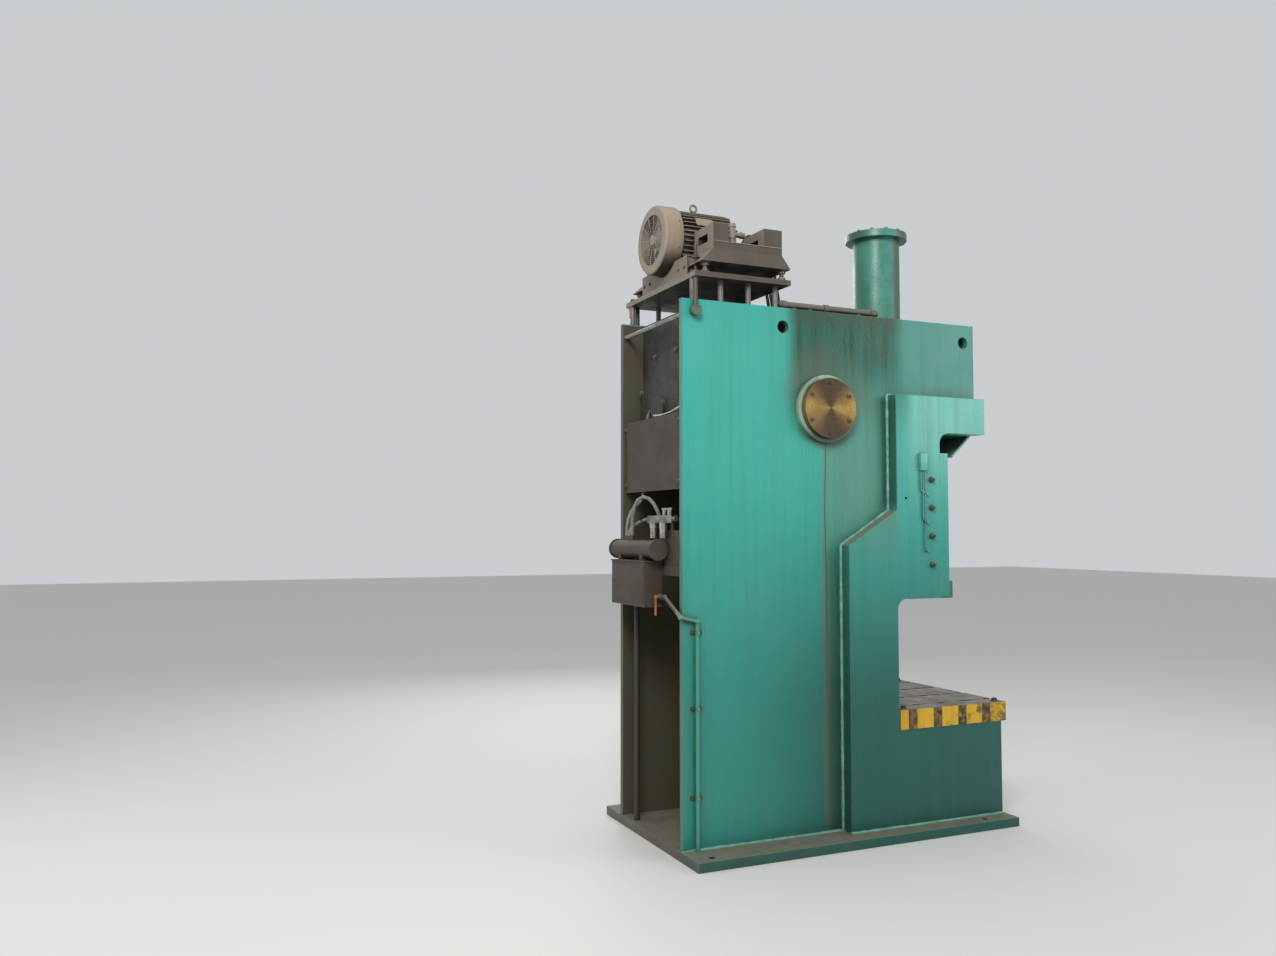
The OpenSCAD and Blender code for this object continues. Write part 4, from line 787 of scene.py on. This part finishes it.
# %% Weld metal under worn paint, with painted highlight and shade
# Pale base colour: rubbed paint and a painted highlight.
f = Finish("weld_paint_with_highlight", rgb(118, 176, 160), dirt_and_shade_reach=0.05, dust=0.6, chips=0.8, edge=0.004)
x, y, z = f.axes()
f.lay(f.soft(f.noise(12.0, 5.0), 0.35, 0.65), rgb(88, 142, 126))
# Painted shade: the bead darkens towards the bottom.
f.lay(f.soft(z, 2.2, 1.0, 0.0, 0.35), rgb(72, 120, 104))
f.lay(f.soft(f.noise(26.0, 5.0, 0.7), 0.54, 0.66), rgb(112, 98, 74), 0.6)
# Dirt and painted shade in the corners.
f.lay(f.dirt_and_shade, rgb(48, 62, 50), 0.35)
f.put(f.soft(f.noise(20.0), 0.3, 0.7, 0.4, 0.6), f.noise(160.0, 3.0), 0.0008)

# %% Weld lines on the slabs and the base
slab_low, slab_high = corners("left_front_slab")
plate_low, plate_high = corners("left_side_plate")
SLAB_BEAD, BASE_BEAD, STEP_Y, HOOD_Y = 0.013, 0.012, -0.41, -1.185
OUTLINE = [(slab_high.y, slab_low.z), (slab_high.y, 1.98), (STEP_Y, 2.22), (STEP_Y, slab_high.z),
           (HOOD_Y, slab_high.z)]
bm = bmesh.new()
for side in (-1, 1):
    wall, face = side * abs(plate_low.x), side * abs(slab_low.x)
    for start, end in zip(OUTLINE, OUTLINE[1:]):
        add_bead(bm, (wall, *start), (wall, *end), SLAB_BEAD)
    add_bead(bm, (wall, slab_high.y, plate_low.z), (wall, plate_high.y, plate_low.z), BASE_BEAD)
    add_bead(bm, (face, slab_low.y, slab_low.z), (face, slab_high.y, slab_low.z), BASE_BEAD)
piece("frame_welds", bm, "teal_paint", "weld_paint_with_highlight", sharp=60)

# %% [markdown]
# Through each rear lifting hole one would look into the crown. A near-black cup behind the hole stands in
# for the shade inside; it is a closed profile of outer and inner points, spun round the hole's axis.

# %% Dark cups behind the rear lifting holes, as painted shade
LIFT_Y, LIFT_Z, CUP_DEPTH = 0.44, 3.45, 0.06
AXIS_R = 0.0006  # a closed profile stops just short of the axis that it is spun round
CUP = [(AXIS_R, 0.0), (0.046, 0.0), (0.05, 0.004), (0.05, CUP_DEPTH), (0.0445, CUP_DEPTH), (0.0445, 0.006),
       (AXIS_R, 0.006)]
bm = bmesh.new()
for side in (-1, 1):
    mouth = side * abs(plate_high.x)
    add_turned(bm, (mouth - side * CUP_DEPTH, LIFT_Y, LIFT_Z), (side, 0, 0), CUP, 40)
# The cups are near-black so that the holes read as shade.
piece("lifting_hole_shade_cups", bm, "rubber")

# %% [markdown]
# The tank stands on the crown on a ring of weld, which is one small profile spun round the tank. A seam
# runs up the front of its shell.

# %% Tank seams
tank_low, tank_high = corners("air_tank")
tank_middle = (tank_low + tank_high) / 2
tank_radius = (tank_high.x - tank_low.x) / 2
bm = bmesh.new()
add_turned(bm, (tank_middle.x, tank_middle.y, tank_low.z), UP,
           [(tank_radius - 0.002, -0.001), (tank_radius + 0.012, -0.001), (tank_radius + 0.009, 0.006),
            (tank_radius + 0.003, 0.011), (tank_radius - 0.002, 0.013)], 72)
seam_y = tank_middle.y - tank_radius + 0.002
add_bead(bm, (0.0, seam_y, tank_low.z + 0.01), (0.0, seam_y, tank_high.z - 0.01), 0.005)
piece("tank_welds", bm, "teal_paint", "weld_paint_with_highlight", sharp=60)

# %% [markdown]
# ## Slide guides
# Screws through each slab press the guide against the slide; a locknut holds every screw. Thin oil
# pipes run from a divider block near the front edge to the guides. The front gib plates are bolted on.

# %% Gib screws and oil pipes
GIB_SCREW_Y, GIB_SCREW_ZS = -0.71, (2.436, 2.238, 2.04, 1.84)
LOCK_RING, SCREW_LENGTH = 0.005, 0.036
bm = bmesh.new()
for side in (-1, 1):
    out = Vector((side, 0, 0))
    for z in GIB_SCREW_ZS:
        seat = Vector((side * abs(slab_low.x), GIB_SCREW_Y, z))
        add_bar(bm, seat, seat + LOCK_RING * out, 0.022, segments=24)
        add_bolt(bm, seat + LOCK_RING * out, out, 0.03, 0.015, washer=False)
        add_bar(bm, seat, seat + SCREW_LENGTH * out, 0.009, segments=14)
piece("gib_screws", bm, "dark_iron")

DIVIDER_Z = 2.5
bm = bmesh.new()
for side in (-1, 1):
    face = side * abs(slab_low.x)
    block_face = face + side * 0.028
    add_block(bm, (min(face, block_face), -0.66, DIVIDER_Z), (max(face, block_face), -0.6, 2.62))
    for i, z in enumerate(GIB_SCREW_ZS[1:]):
        lane = face + side * 0.012
        start = Vector((lane, -0.613 - 0.017 * i, DIVIDER_Z))
        foot = Vector((lane, -0.66, z + 0.1))
        bend = Vector((lane, start.y, foot.z + 0.03))
        add_tube(bm, [start, bend, bend + Vector((0, -0.003, -0.01)), foot + Vector((0, 0.012, 0.003)), foot],
                 0.0045, 8)
        add_bar(bm, (face, foot.y, foot.z), (face + side * 0.024, foot.y, foot.z), 0.01, segments=12)
piece("oil_pipes", bm, "teal_paint")

# %% Bolts of the gib plates
gib_low, gib_high = corners("gib_plates")
GIB_BOLT_X, GIB_BOLTS, GIB_MARGIN = 0.55, 6, 0.07
bm = bmesh.new()
for x in (-GIB_BOLT_X, GIB_BOLT_X):
    for i in range(GIB_BOLTS):
        z = gib_low.z + GIB_MARGIN + i * (gib_high.z - gib_low.z - 2 * GIB_MARGIN) / (GIB_BOLTS - 1)
        add_bolt(bm, (x, gib_low.y, z), FRONT, 0.036, 0.019)
piece("gib_plate_bolts", bm, "dark_iron")

# %% [markdown]
# ## Crown and slide, seen from the front
# A bolted ring keeps the front bearing in the crown plate. The slide carries a clamp for the die's
# shank and a cover over its ball seat, and both move with the slide, so they ride on that body.

# %% Front ring, shank clamp and cover
ring_y = corners("crown_front_plate")[0].y
slide_z = corners("slide")[0].z
SHAFT_Z = CAP_Z
RING_THICK, RING_BOLT_R = 0.012, 0.118
SLIDE_Y = -1.06
CLAMP_Y, COVER_Y = SLIDE_Y - 0.032, SLIDE_Y - 0.014
bm = bmesh.new()
RING = [(0.094, 0.0), (0.142, 0.0), (0.142, 0.009), (0.139, RING_THICK), (0.097, RING_THICK), (0.094, 0.009)]
add_turned(bm, (0, ring_y, SHAFT_Z), FRONT, RING, 72)
for angle in RING_OF_8:
    seat = Vector((0, ring_y - RING_THICK, SHAFT_Z)) + RING_BOLT_R * ray(angle)
    add_bolt(bm, seat, FRONT, 0.019, 0.01, washer=False)
piece("front_bearing_ring", bm, "dark_iron")

bm = bmesh.new()
add_block(bm, (-0.15, CLAMP_Y, slide_z + 0.02), (0.15, SLIDE_Y, slide_z + 0.105), 0.004)
add_block(bm, (-0.17, COVER_Y, 2.02), (0.17, SLIDE_Y, 2.24), 0.003)
piece("slide_covers", bm, "slide_paint", body="slide")
bm = bmesh.new()
for x in (-0.11, 0.11):
    add_bolt(bm, (x, CLAMP_Y, slide_z + 0.0625), FRONT, 0.036, 0.02)
    for z in (2.045, 2.215):
        add_bolt(bm, (x * 1.35, COVER_Y, z), FRONT, 0.019, 0.01)
piece("slide_bolts", bm, "dark_iron", body="slide")

# %% [markdown]
# ## Bolts of the bed and the rear
# The bolster is bolted down at its corners. At the rear, bolts hold the round cover and the brown cross
# plate, and a light cable hangs across the opening from the cover's middle to the side plate.

# %% Bolster, cover and cross plate bolts
bolster_low, bolster_high = corners("bolster")
cover_low, cover_high = corners("brake_cover")
cross_low, cross_high = corners("rear_cross_plate")
bm = bmesh.new()
for x in (bolster_low.x + 0.05, bolster_high.x - 0.05):
    for y in (bolster_low.y + 0.06, bolster_high.y - 0.06):
        add_bolt(bm, (x, y, bolster_high.z), UP, 0.036, 0.02)
piece("bolster_bolts", bm, "dark_iron")

COVER_BOSS_R = 0.425
bm = bmesh.new()
for angle in RING_OF_8:
    seat = Vector((0, cover_low.y + 0.04, SHAFT_Z)) + COVER_BOSS_R * ray(angle)
    add_bolt(bm, seat, REAR, 0.022, 0.012)
for x in (cross_low.x + 0.03, cross_high.x - 0.03):
    for z in (cross_low.z + 0.05, cross_high.z - 0.05):
        add_bolt(bm, (x, cross_high.y, z), REAR, 0.024, 0.014)
piece("rear_bolts", bm, "dark_iron", "rusty_iron")

# %% Cable across the rear opening
CABLE_R, CABLE_SAG = 0.006, 0.022
start = Vector((-0.03, cover_high.y, SHAFT_Z - 0.045))
end = Vector((-abs(plate_high.x), 1.15, SHAFT_Z))
after_start = start + Vector((0, 0.035, 0))
before_end = end + Vector((0.03, 0, 0))
route = [start, start.lerp(after_start, 0.6), *hanging(after_start, before_end, CABLE_SAG, 18), end]
bm = bmesh.new()
add_tube(bm, route, CABLE_R)
piece("rear_cable", bm, "hose_rubber", "cable_rubber")
bm = bmesh.new()
add_bar(bm, start - Vector((0, 0.004, 0)), start + Vector((0, 0.02, 0)), 0.014, 0.009, 16)
add_bar(bm, end, before_end, 0.013, 0.009, 16)
piece("cable_glands", bm, "rubber", "black_cable")

# %% [markdown]
# ## Motor platform
# Bolts hold the base plate to its posts, and big washers on the jack screws have rusted. The motor has
# screws round its cowl, bolts in its end shield and feet, and a blank rating plate on its near side.

# %% Platform bolts and washers
base_top = corners("motor_base_plate")[1].z
tray_low, tray_high = corners("motor_tray")
POST_X, POST_YS = 0.48, (0.489, 0.697, 0.905, 1.113)
JACK_X, JACK_YS = tray_high.x - 0.045, (0.457, 1.037)
JACK_WASHER, JACK_WASHER_R = 0.005, 0.036
bm = bmesh.new()
for x in (-POST_X, POST_X):
    for y in POST_YS:
        add_bolt(bm, (x, y, base_top), UP, 0.03, 0.016)
for x in (-JACK_X, JACK_X):
    for y in JACK_YS:
        for z in (base_top, tray_low.z - JACK_WASHER):
            add_bar(bm, (x, y, z), (x, y, z + JACK_WASHER), JACK_WASHER_R, segments=24)
piece("platform_bolts", bm, "dark_iron", "rusty_iron")

# %% [markdown]
# A skirt plate hangs on the tray's rear edge and is cut round to clear the fan cowl. Its upper rim is a
# chain of edges; one extrusion draws it down to a straight edge, and one gives it thickness. A rusty stud
# stands at its near end, and a thin weld closes each upper edge of the tray.

# %% Rear skirt, stud and edge welds
cowl_low, cowl_high = corners("fan_cowl")
MOTOR_Z = (cowl_low.z + cowl_high.z) / 2
COWL_R = (cowl_high.z - cowl_low.z) / 2
SKIRT_Y, SKIRT_X = tray_high.y, 0.36
SKIRT_LOW, SKIRT_TOP = 3.774, 3.905
SKIRT_CUT, SKIRT_THICK = COWL_R + 0.008, 0.008
bm = bmesh.new()
reach = math.acos((MOTOR_Z - SKIRT_TOP) / SKIRT_CUT)
curve = [(SKIRT_CUT * math.sin(a), MOTOR_Z - SKIRT_CUT * math.cos(a))
         for a in (reach * (k / 12 - 1) for k in range(25))]
rim = [bm.verts.new((x, SKIRT_Y, z)) for x, z in [(-SKIRT_X, SKIRT_TOP)] + curve + [(SKIRT_X, SKIRT_TOP)]]
pulled = bmesh.ops.extrude_edge_only(bm, edges=[bm.edges.new(pair) for pair in zip(rim, rim[1:])])["geom"]
for vert in only(bmesh.types.BMVert, pulled):
    vert.co.z = SKIRT_LOW
pulled = bmesh.ops.extrude_face_region(bm, geom=bm.faces[:])["geom"]
bmesh.ops.translate(bm, verts=only(bmesh.types.BMVert, pulled), vec=(0, SKIRT_THICK, 0))
for x in (-0.32, -0.23, 0.23, 0.32):
    add_bolt(bm, (x, SKIRT_Y + SKIRT_THICK, SKIRT_LOW + 0.06), REAR, 0.019, 0.009)
piece("tray_skirt", bm, "platform_paint")

STUD_X, STUD_Y, STUD_TOP, STUD_NUT = -0.43, 1.062, 3.962, 3.872
bm = bmesh.new()
add_bar(bm, (STUD_X, STUD_Y, base_top), (STUD_X, STUD_Y, STUD_TOP), 0.011, segments=16)
for z in (base_top, STUD_NUT):
    add_bolt(bm, (STUD_X, STUD_Y, z), UP, 0.034, 0.018)
piece("tray_stud", bm, "dark_iron", "rusty_iron")

TRAY_TOP, TRAY_EDGE_X, TRAY_EDGE_YS = 3.974, 0.52, (0.46, 0.974)
bm = bmesh.new()
for x in (-TRAY_EDGE_X, TRAY_EDGE_X):
    add_bead(bm, (x, TRAY_EDGE_YS[0], TRAY_TOP), (x, TRAY_EDGE_YS[1], TRAY_TOP), 0.004)
piece("tray_welds", bm, "motor_paint", sharp=60)

# %% [markdown]
# ## Fan cowl
# The cowl is pressed sheet with a tight round edge, and a wire guard of rings and spokes closes it. The
# CAD cowl keeps the space; the dressed one takes its place because the guard's wires are too fine for
# it. A wall is a closed profile of outer and inner points, and one full spin makes it a shell.

# %% Cowl shell and wire guard
SKIN, EDGE_R, GUARD_R, HUB_R = 0.004, 0.02, 0.172, 0.038
WIRE_R, WIRE_PITCH, WIRES, SPOKES = 0.0024, 0.0135, 10, 12
depth = cowl_high.y - cowl_low.y
centre = Vector((0, cowl_low.y, MOTOR_Z))


def round_edge(radius):
    """Points of the cowl's rounded rim, from its wall to its face."""
    turns = [math.radians(15 * k) for k in range(7)]
    return [(COWL_R - EDGE_R + radius * math.cos(a), depth - EDGE_R + radius * math.sin(a)) for a in turns]


bm = bmesh.new()
outer = [(COWL_R, 0.0)] + round_edge(EDGE_R) + [(GUARD_R, depth)]
inner = [(GUARD_R, depth - SKIN)] + round_edge(EDGE_R - SKIN)[::-1] + [(COWL_R - SKIN, 0.0)]
add_turned(bm, centre, REAR, outer + inner, 96)
hub = [(AXIS_R, depth - 0.014), (HUB_R, depth - 0.014), (HUB_R, depth - 0.006),
       (HUB_R - 0.006, depth - 0.002), (AXIS_R, depth - 0.002)]
add_turned(bm, centre, REAR, hub, 40)
round_wire = [WIRE_R * ray(60 * i) for i in range(6)]
for k in range(WIRES):
    radius, height = HUB_R + WIRE_PITCH * (k + 1), depth - 0.006
    add_turned(bm, centre, REAR, [(radius + v.x, height + v.z) for v in round_wire], 64)
for k in range(SPOKES):
    way = ray(30 * k + 10)
    add_bar(bm, centre + Vector((0, depth - 0.01, 0)) + (HUB_R - 0.004) * way,
            centre + Vector((0, depth - 0.006, 0)) + (GUARD_R + 0.003) * way, 0.0034, segments=8)
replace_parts(piece("cowl_with_guard", bm, "motor_paint"), "fan_cowl")

# %% Motor bolts
foot_top = corners("motor_body")[0].z + 0.024
box_low, box_high = corners("terminal_box")
EAR_R, EAR_FRONT_Y = 0.204, 0.626
FOOT_X, FOOT_YS = 0.21, (0.71, 0.985)
LID_MARGIN = 0.014
bm = bmesh.new()
for angle in RING_OF_8:
    out = ray(90 - angle)
    seat = Vector((0, cowl_low.y + 0.022, MOTOR_Z)) + COWL_R * out
    add_bar(bm, seat - 0.001 * out, seat + 0.001 * out, 0.006, segments=12)
    add_bolt(bm, Vector((0, EAR_FRONT_Y, MOTOR_Z)) + EAR_R * out, FRONT, 0.017, 0.011)
for x in (-FOOT_X, FOOT_X):
    for y in FOOT_YS:
        add_bolt(bm, (x, y, foot_top), UP, 0.03, 0.018)
for y in (box_low.y + LID_MARGIN, box_high.y - LID_MARGIN):
    for z in (box_high.z - LID_MARGIN, box_high.z - 0.146):
        add_bar(bm, (box_high.x, y, z), (box_high.x + 0.003, y, z), 0.0055, 0.004, 12)
piece("motor_bolts", bm, "dark_iron")

# %% [markdown]
# The rating plate was painted over with the motor; four pins hold it, and it carries nothing. It lies on
# the fins, so it is turned to the direction in which that part of the round body faces. The cable leaves
# the terminal box, lies on the tray under two clips and goes down through a bush.

# %% Rating plate and motor cable
PLATE_LEAN = 60
PLATE_SIZE = (0.068, 0.134, 0.003)
PIN_X, PIN_Y = 0.029, 0.062
outward = ray(90 + PLATE_LEAN)
bm = bmesh.new()
turned = Matrix.Translation(Vector((0, 0.87, MOTOR_Z)) + 0.223 * outward)
turned = turned @ Matrix.Rotation(math.radians(-PLATE_LEAN), 4, "Y")
sheet = bmesh.ops.create_cube(bm, size=1.0, matrix=turned @ Matrix.Diagonal((*PLATE_SIZE, 1.0)))
soften(bm, edges_of(sheet["verts"]), 0.001)
for x in (-PIN_X, PIN_X):
    for y in (-PIN_Y, PIN_Y):
        seat = turned @ Vector((x, y, PLATE_SIZE[2] / 2))
        add_bar(bm, seat, seat + 0.002 * outward, 0.003, segments=8)
piece("rating_plate", bm, "motor_paint")

GLAND = (0.262, 0.734, 3.996)
BUSH_X, BUSH_Y = 0.48, 0.752
lying = TRAY_TOP + CABLE_R
bm = bmesh.new()
add_tube(bm, [(0.262, 0.734, 4.006), GLAND, (0.264, 0.734, 3.989), (0.27, 0.735, 3.983),
              (0.28, 0.736, lying), (0.32, 0.738, lying), (0.38, 0.745, lying), (0.44, 0.75, lying),
              (0.466, BUSH_Y, lying), (0.475, BUSH_Y, lying - 0.004), (BUSH_X, BUSH_Y, lying - 0.014),
              (BUSH_X, BUSH_Y, TRAY_TOP - 0.012)], CABLE_R)
piece("motor_cable", bm, "rubber", "black_cable")
bm = bmesh.new()
add_bolt(bm, GLAND, UP, 0.04, 0.01, washer=False)
for x, y in ((0.33, 0.7395), (0.41, 0.7475)):
    add_block(bm, (x, y - 0.022, TRAY_TOP), (x + 0.014, y + 0.016, TRAY_TOP + 0.015))
add_turned(bm, (BUSH_X, BUSH_Y, TRAY_TOP), UP,
           [(0.0065, 0.0), (0.018, 0.0), (0.018, 0.004), (0.011, 0.007), (0.0065, 0.007)], 20)
piece("motor_cable_clips", bm, "dark_iron")

# %% [markdown]
# A short conduit comes up through the tray between the near brackets and ends in a capped tee. The tee
# is a stub with a thicker collar at each mouth, as a threaded fitting has.

# %% Conduit tee on the tray
TEE_X, TEE_Y, TEE_Z = -0.4, 0.77, 4.075
branch_z = TEE_Z - 0.008
bm = bmesh.new()
for low, high, radius, top_radius, segments in (
        (TRAY_TOP, TEE_Z, 0.016, None, 20), (TEE_Z - 0.035, TEE_Z + 0.045, 0.021, None, 20),
        (TEE_Z + 0.04, TEE_Z + 0.066, 0.026, 0.022, 20), (TRAY_TOP, TRAY_TOP + 0.012, 0.03, None, 6)):
    add_bar(bm, (TEE_X, TEE_Y, low), (TEE_X, TEE_Y, high), radius, top_radius, segments)
add_bar(bm, (TEE_X, TEE_Y, branch_z), (TEE_X, TEE_Y - 0.075, branch_z), 0.018)
add_bar(bm, (TEE_X, TEE_Y - 0.06, branch_z), (TEE_X, TEE_Y - 0.088, branch_z), 0.023, 0.021)
piece("conduit_tee", bm, "motor_paint")

# %% [markdown]
# ## Air pipes, valve box and control box
# Straps with two screws hold the green pipe on the side plate, and clips hold it on the crown. The valve
# box has a hinged door, and the control box has lid screws, collars round its buttons and a conduit.

# %% Pipe straps
STRAP_X, PIPE_Y, STRAP_ZS = -0.504, 1.105, (1.43, 0.95, 0.39)
CLIP_YS, CROWN_Z = (-0.2, 0.2, 0.33), 3.58
bm = bmesh.new()
for z in STRAP_ZS:
    add_block(bm, (STRAP_X, PIPE_Y - 0.042, z - 0.014), (STRAP_X + 0.004, PIPE_Y + 0.042, z + 0.014), 0.001)
    for y in (PIPE_Y - 0.03, PIPE_Y + 0.03):
        add_bolt(bm, (STRAP_X, y, z), (-1, 0, 0), 0.014, 0.008)
for y in CLIP_YS:
    add_block(bm, (-0.494, y, CROWN_Z), (-0.462, y + 0.03, CROWN_Z + 0.009), 0.001)
piece("pipe_straps", bm, "grey_paint")

# %% Valve box door
DOOR_LOW, DOOR_HIGH = Vector((-0.18, 1.33, 1.6)), Vector((0.33, 1.333, 1.845))
HINGE_ZS, LATCH_Z = (1.64, 1.79), 1.73
hinge_x, hinge_y, latch_x = DOOR_LOW.x + 0.002, DOOR_LOW.y + 0.002, DOOR_HIGH.x - 0.03
bm = bmesh.new()
add_block(bm, DOOR_LOW, DOOR_HIGH, 0.001)
for z in HINGE_ZS:
    add_bar(bm, (hinge_x, hinge_y, z), (hinge_x, hinge_y, z + 0.035), 0.003, segments=10)
add_bar(bm, (latch_x, DOOR_LOW.y, LATCH_Z), (latch_x, DOOR_LOW.y + 0.005, LATCH_Z), 0.012)
piece("valve_box_door", bm, "platform_paint")

# %% Control box fittings
control_low, control_high = corners("control_box")
middle_x, lid_y = (control_low.x + control_high.x) / 2, control_low.y
COLLARS = ((1.875, 0.026), (2.025, 0.028), (2.175, 0.026))
BORE, COLLAR, SCREW_MARGIN = 0.0195, 0.003, 0.012
bm = bmesh.new()
for z, outer in COLLARS:
    add_turned(bm, (middle_x, lid_y, z), FRONT,
               [(BORE, 0.0), (outer, 0.0), (outer, 0.002), (outer - 0.001, COLLAR), (BORE, COLLAR)], 40)
for x in (control_low.x + SCREW_MARGIN, control_high.x - SCREW_MARGIN):
    for z in (control_low.z + SCREW_MARGIN, control_high.z - SCREW_MARGIN):
        add_bar(bm, (x, lid_y, z), (x, lid_y - 0.003, z), 0.005, 0.004, 12)
top = Vector((middle_x, lid_y + 0.11, control_high.z))
CONDUIT = ((0, 0), (0, 0.05), (-0.01, 0.075), (-0.03, 0.088), (-0.0655, 0.09))
add_tube(bm, [top + Vector((x, 0, z)) for x, z in CONDUIT], 0.011, 14)
add_bolt(bm, top, UP, 0.034, 0.014, washer=False)
piece("control_box_fittings", bm, "grey_paint")

# %% Measure the visual box
low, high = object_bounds()
print("visual box:", [round(v, 3) for v in low], [round(v, 3) for v in high])
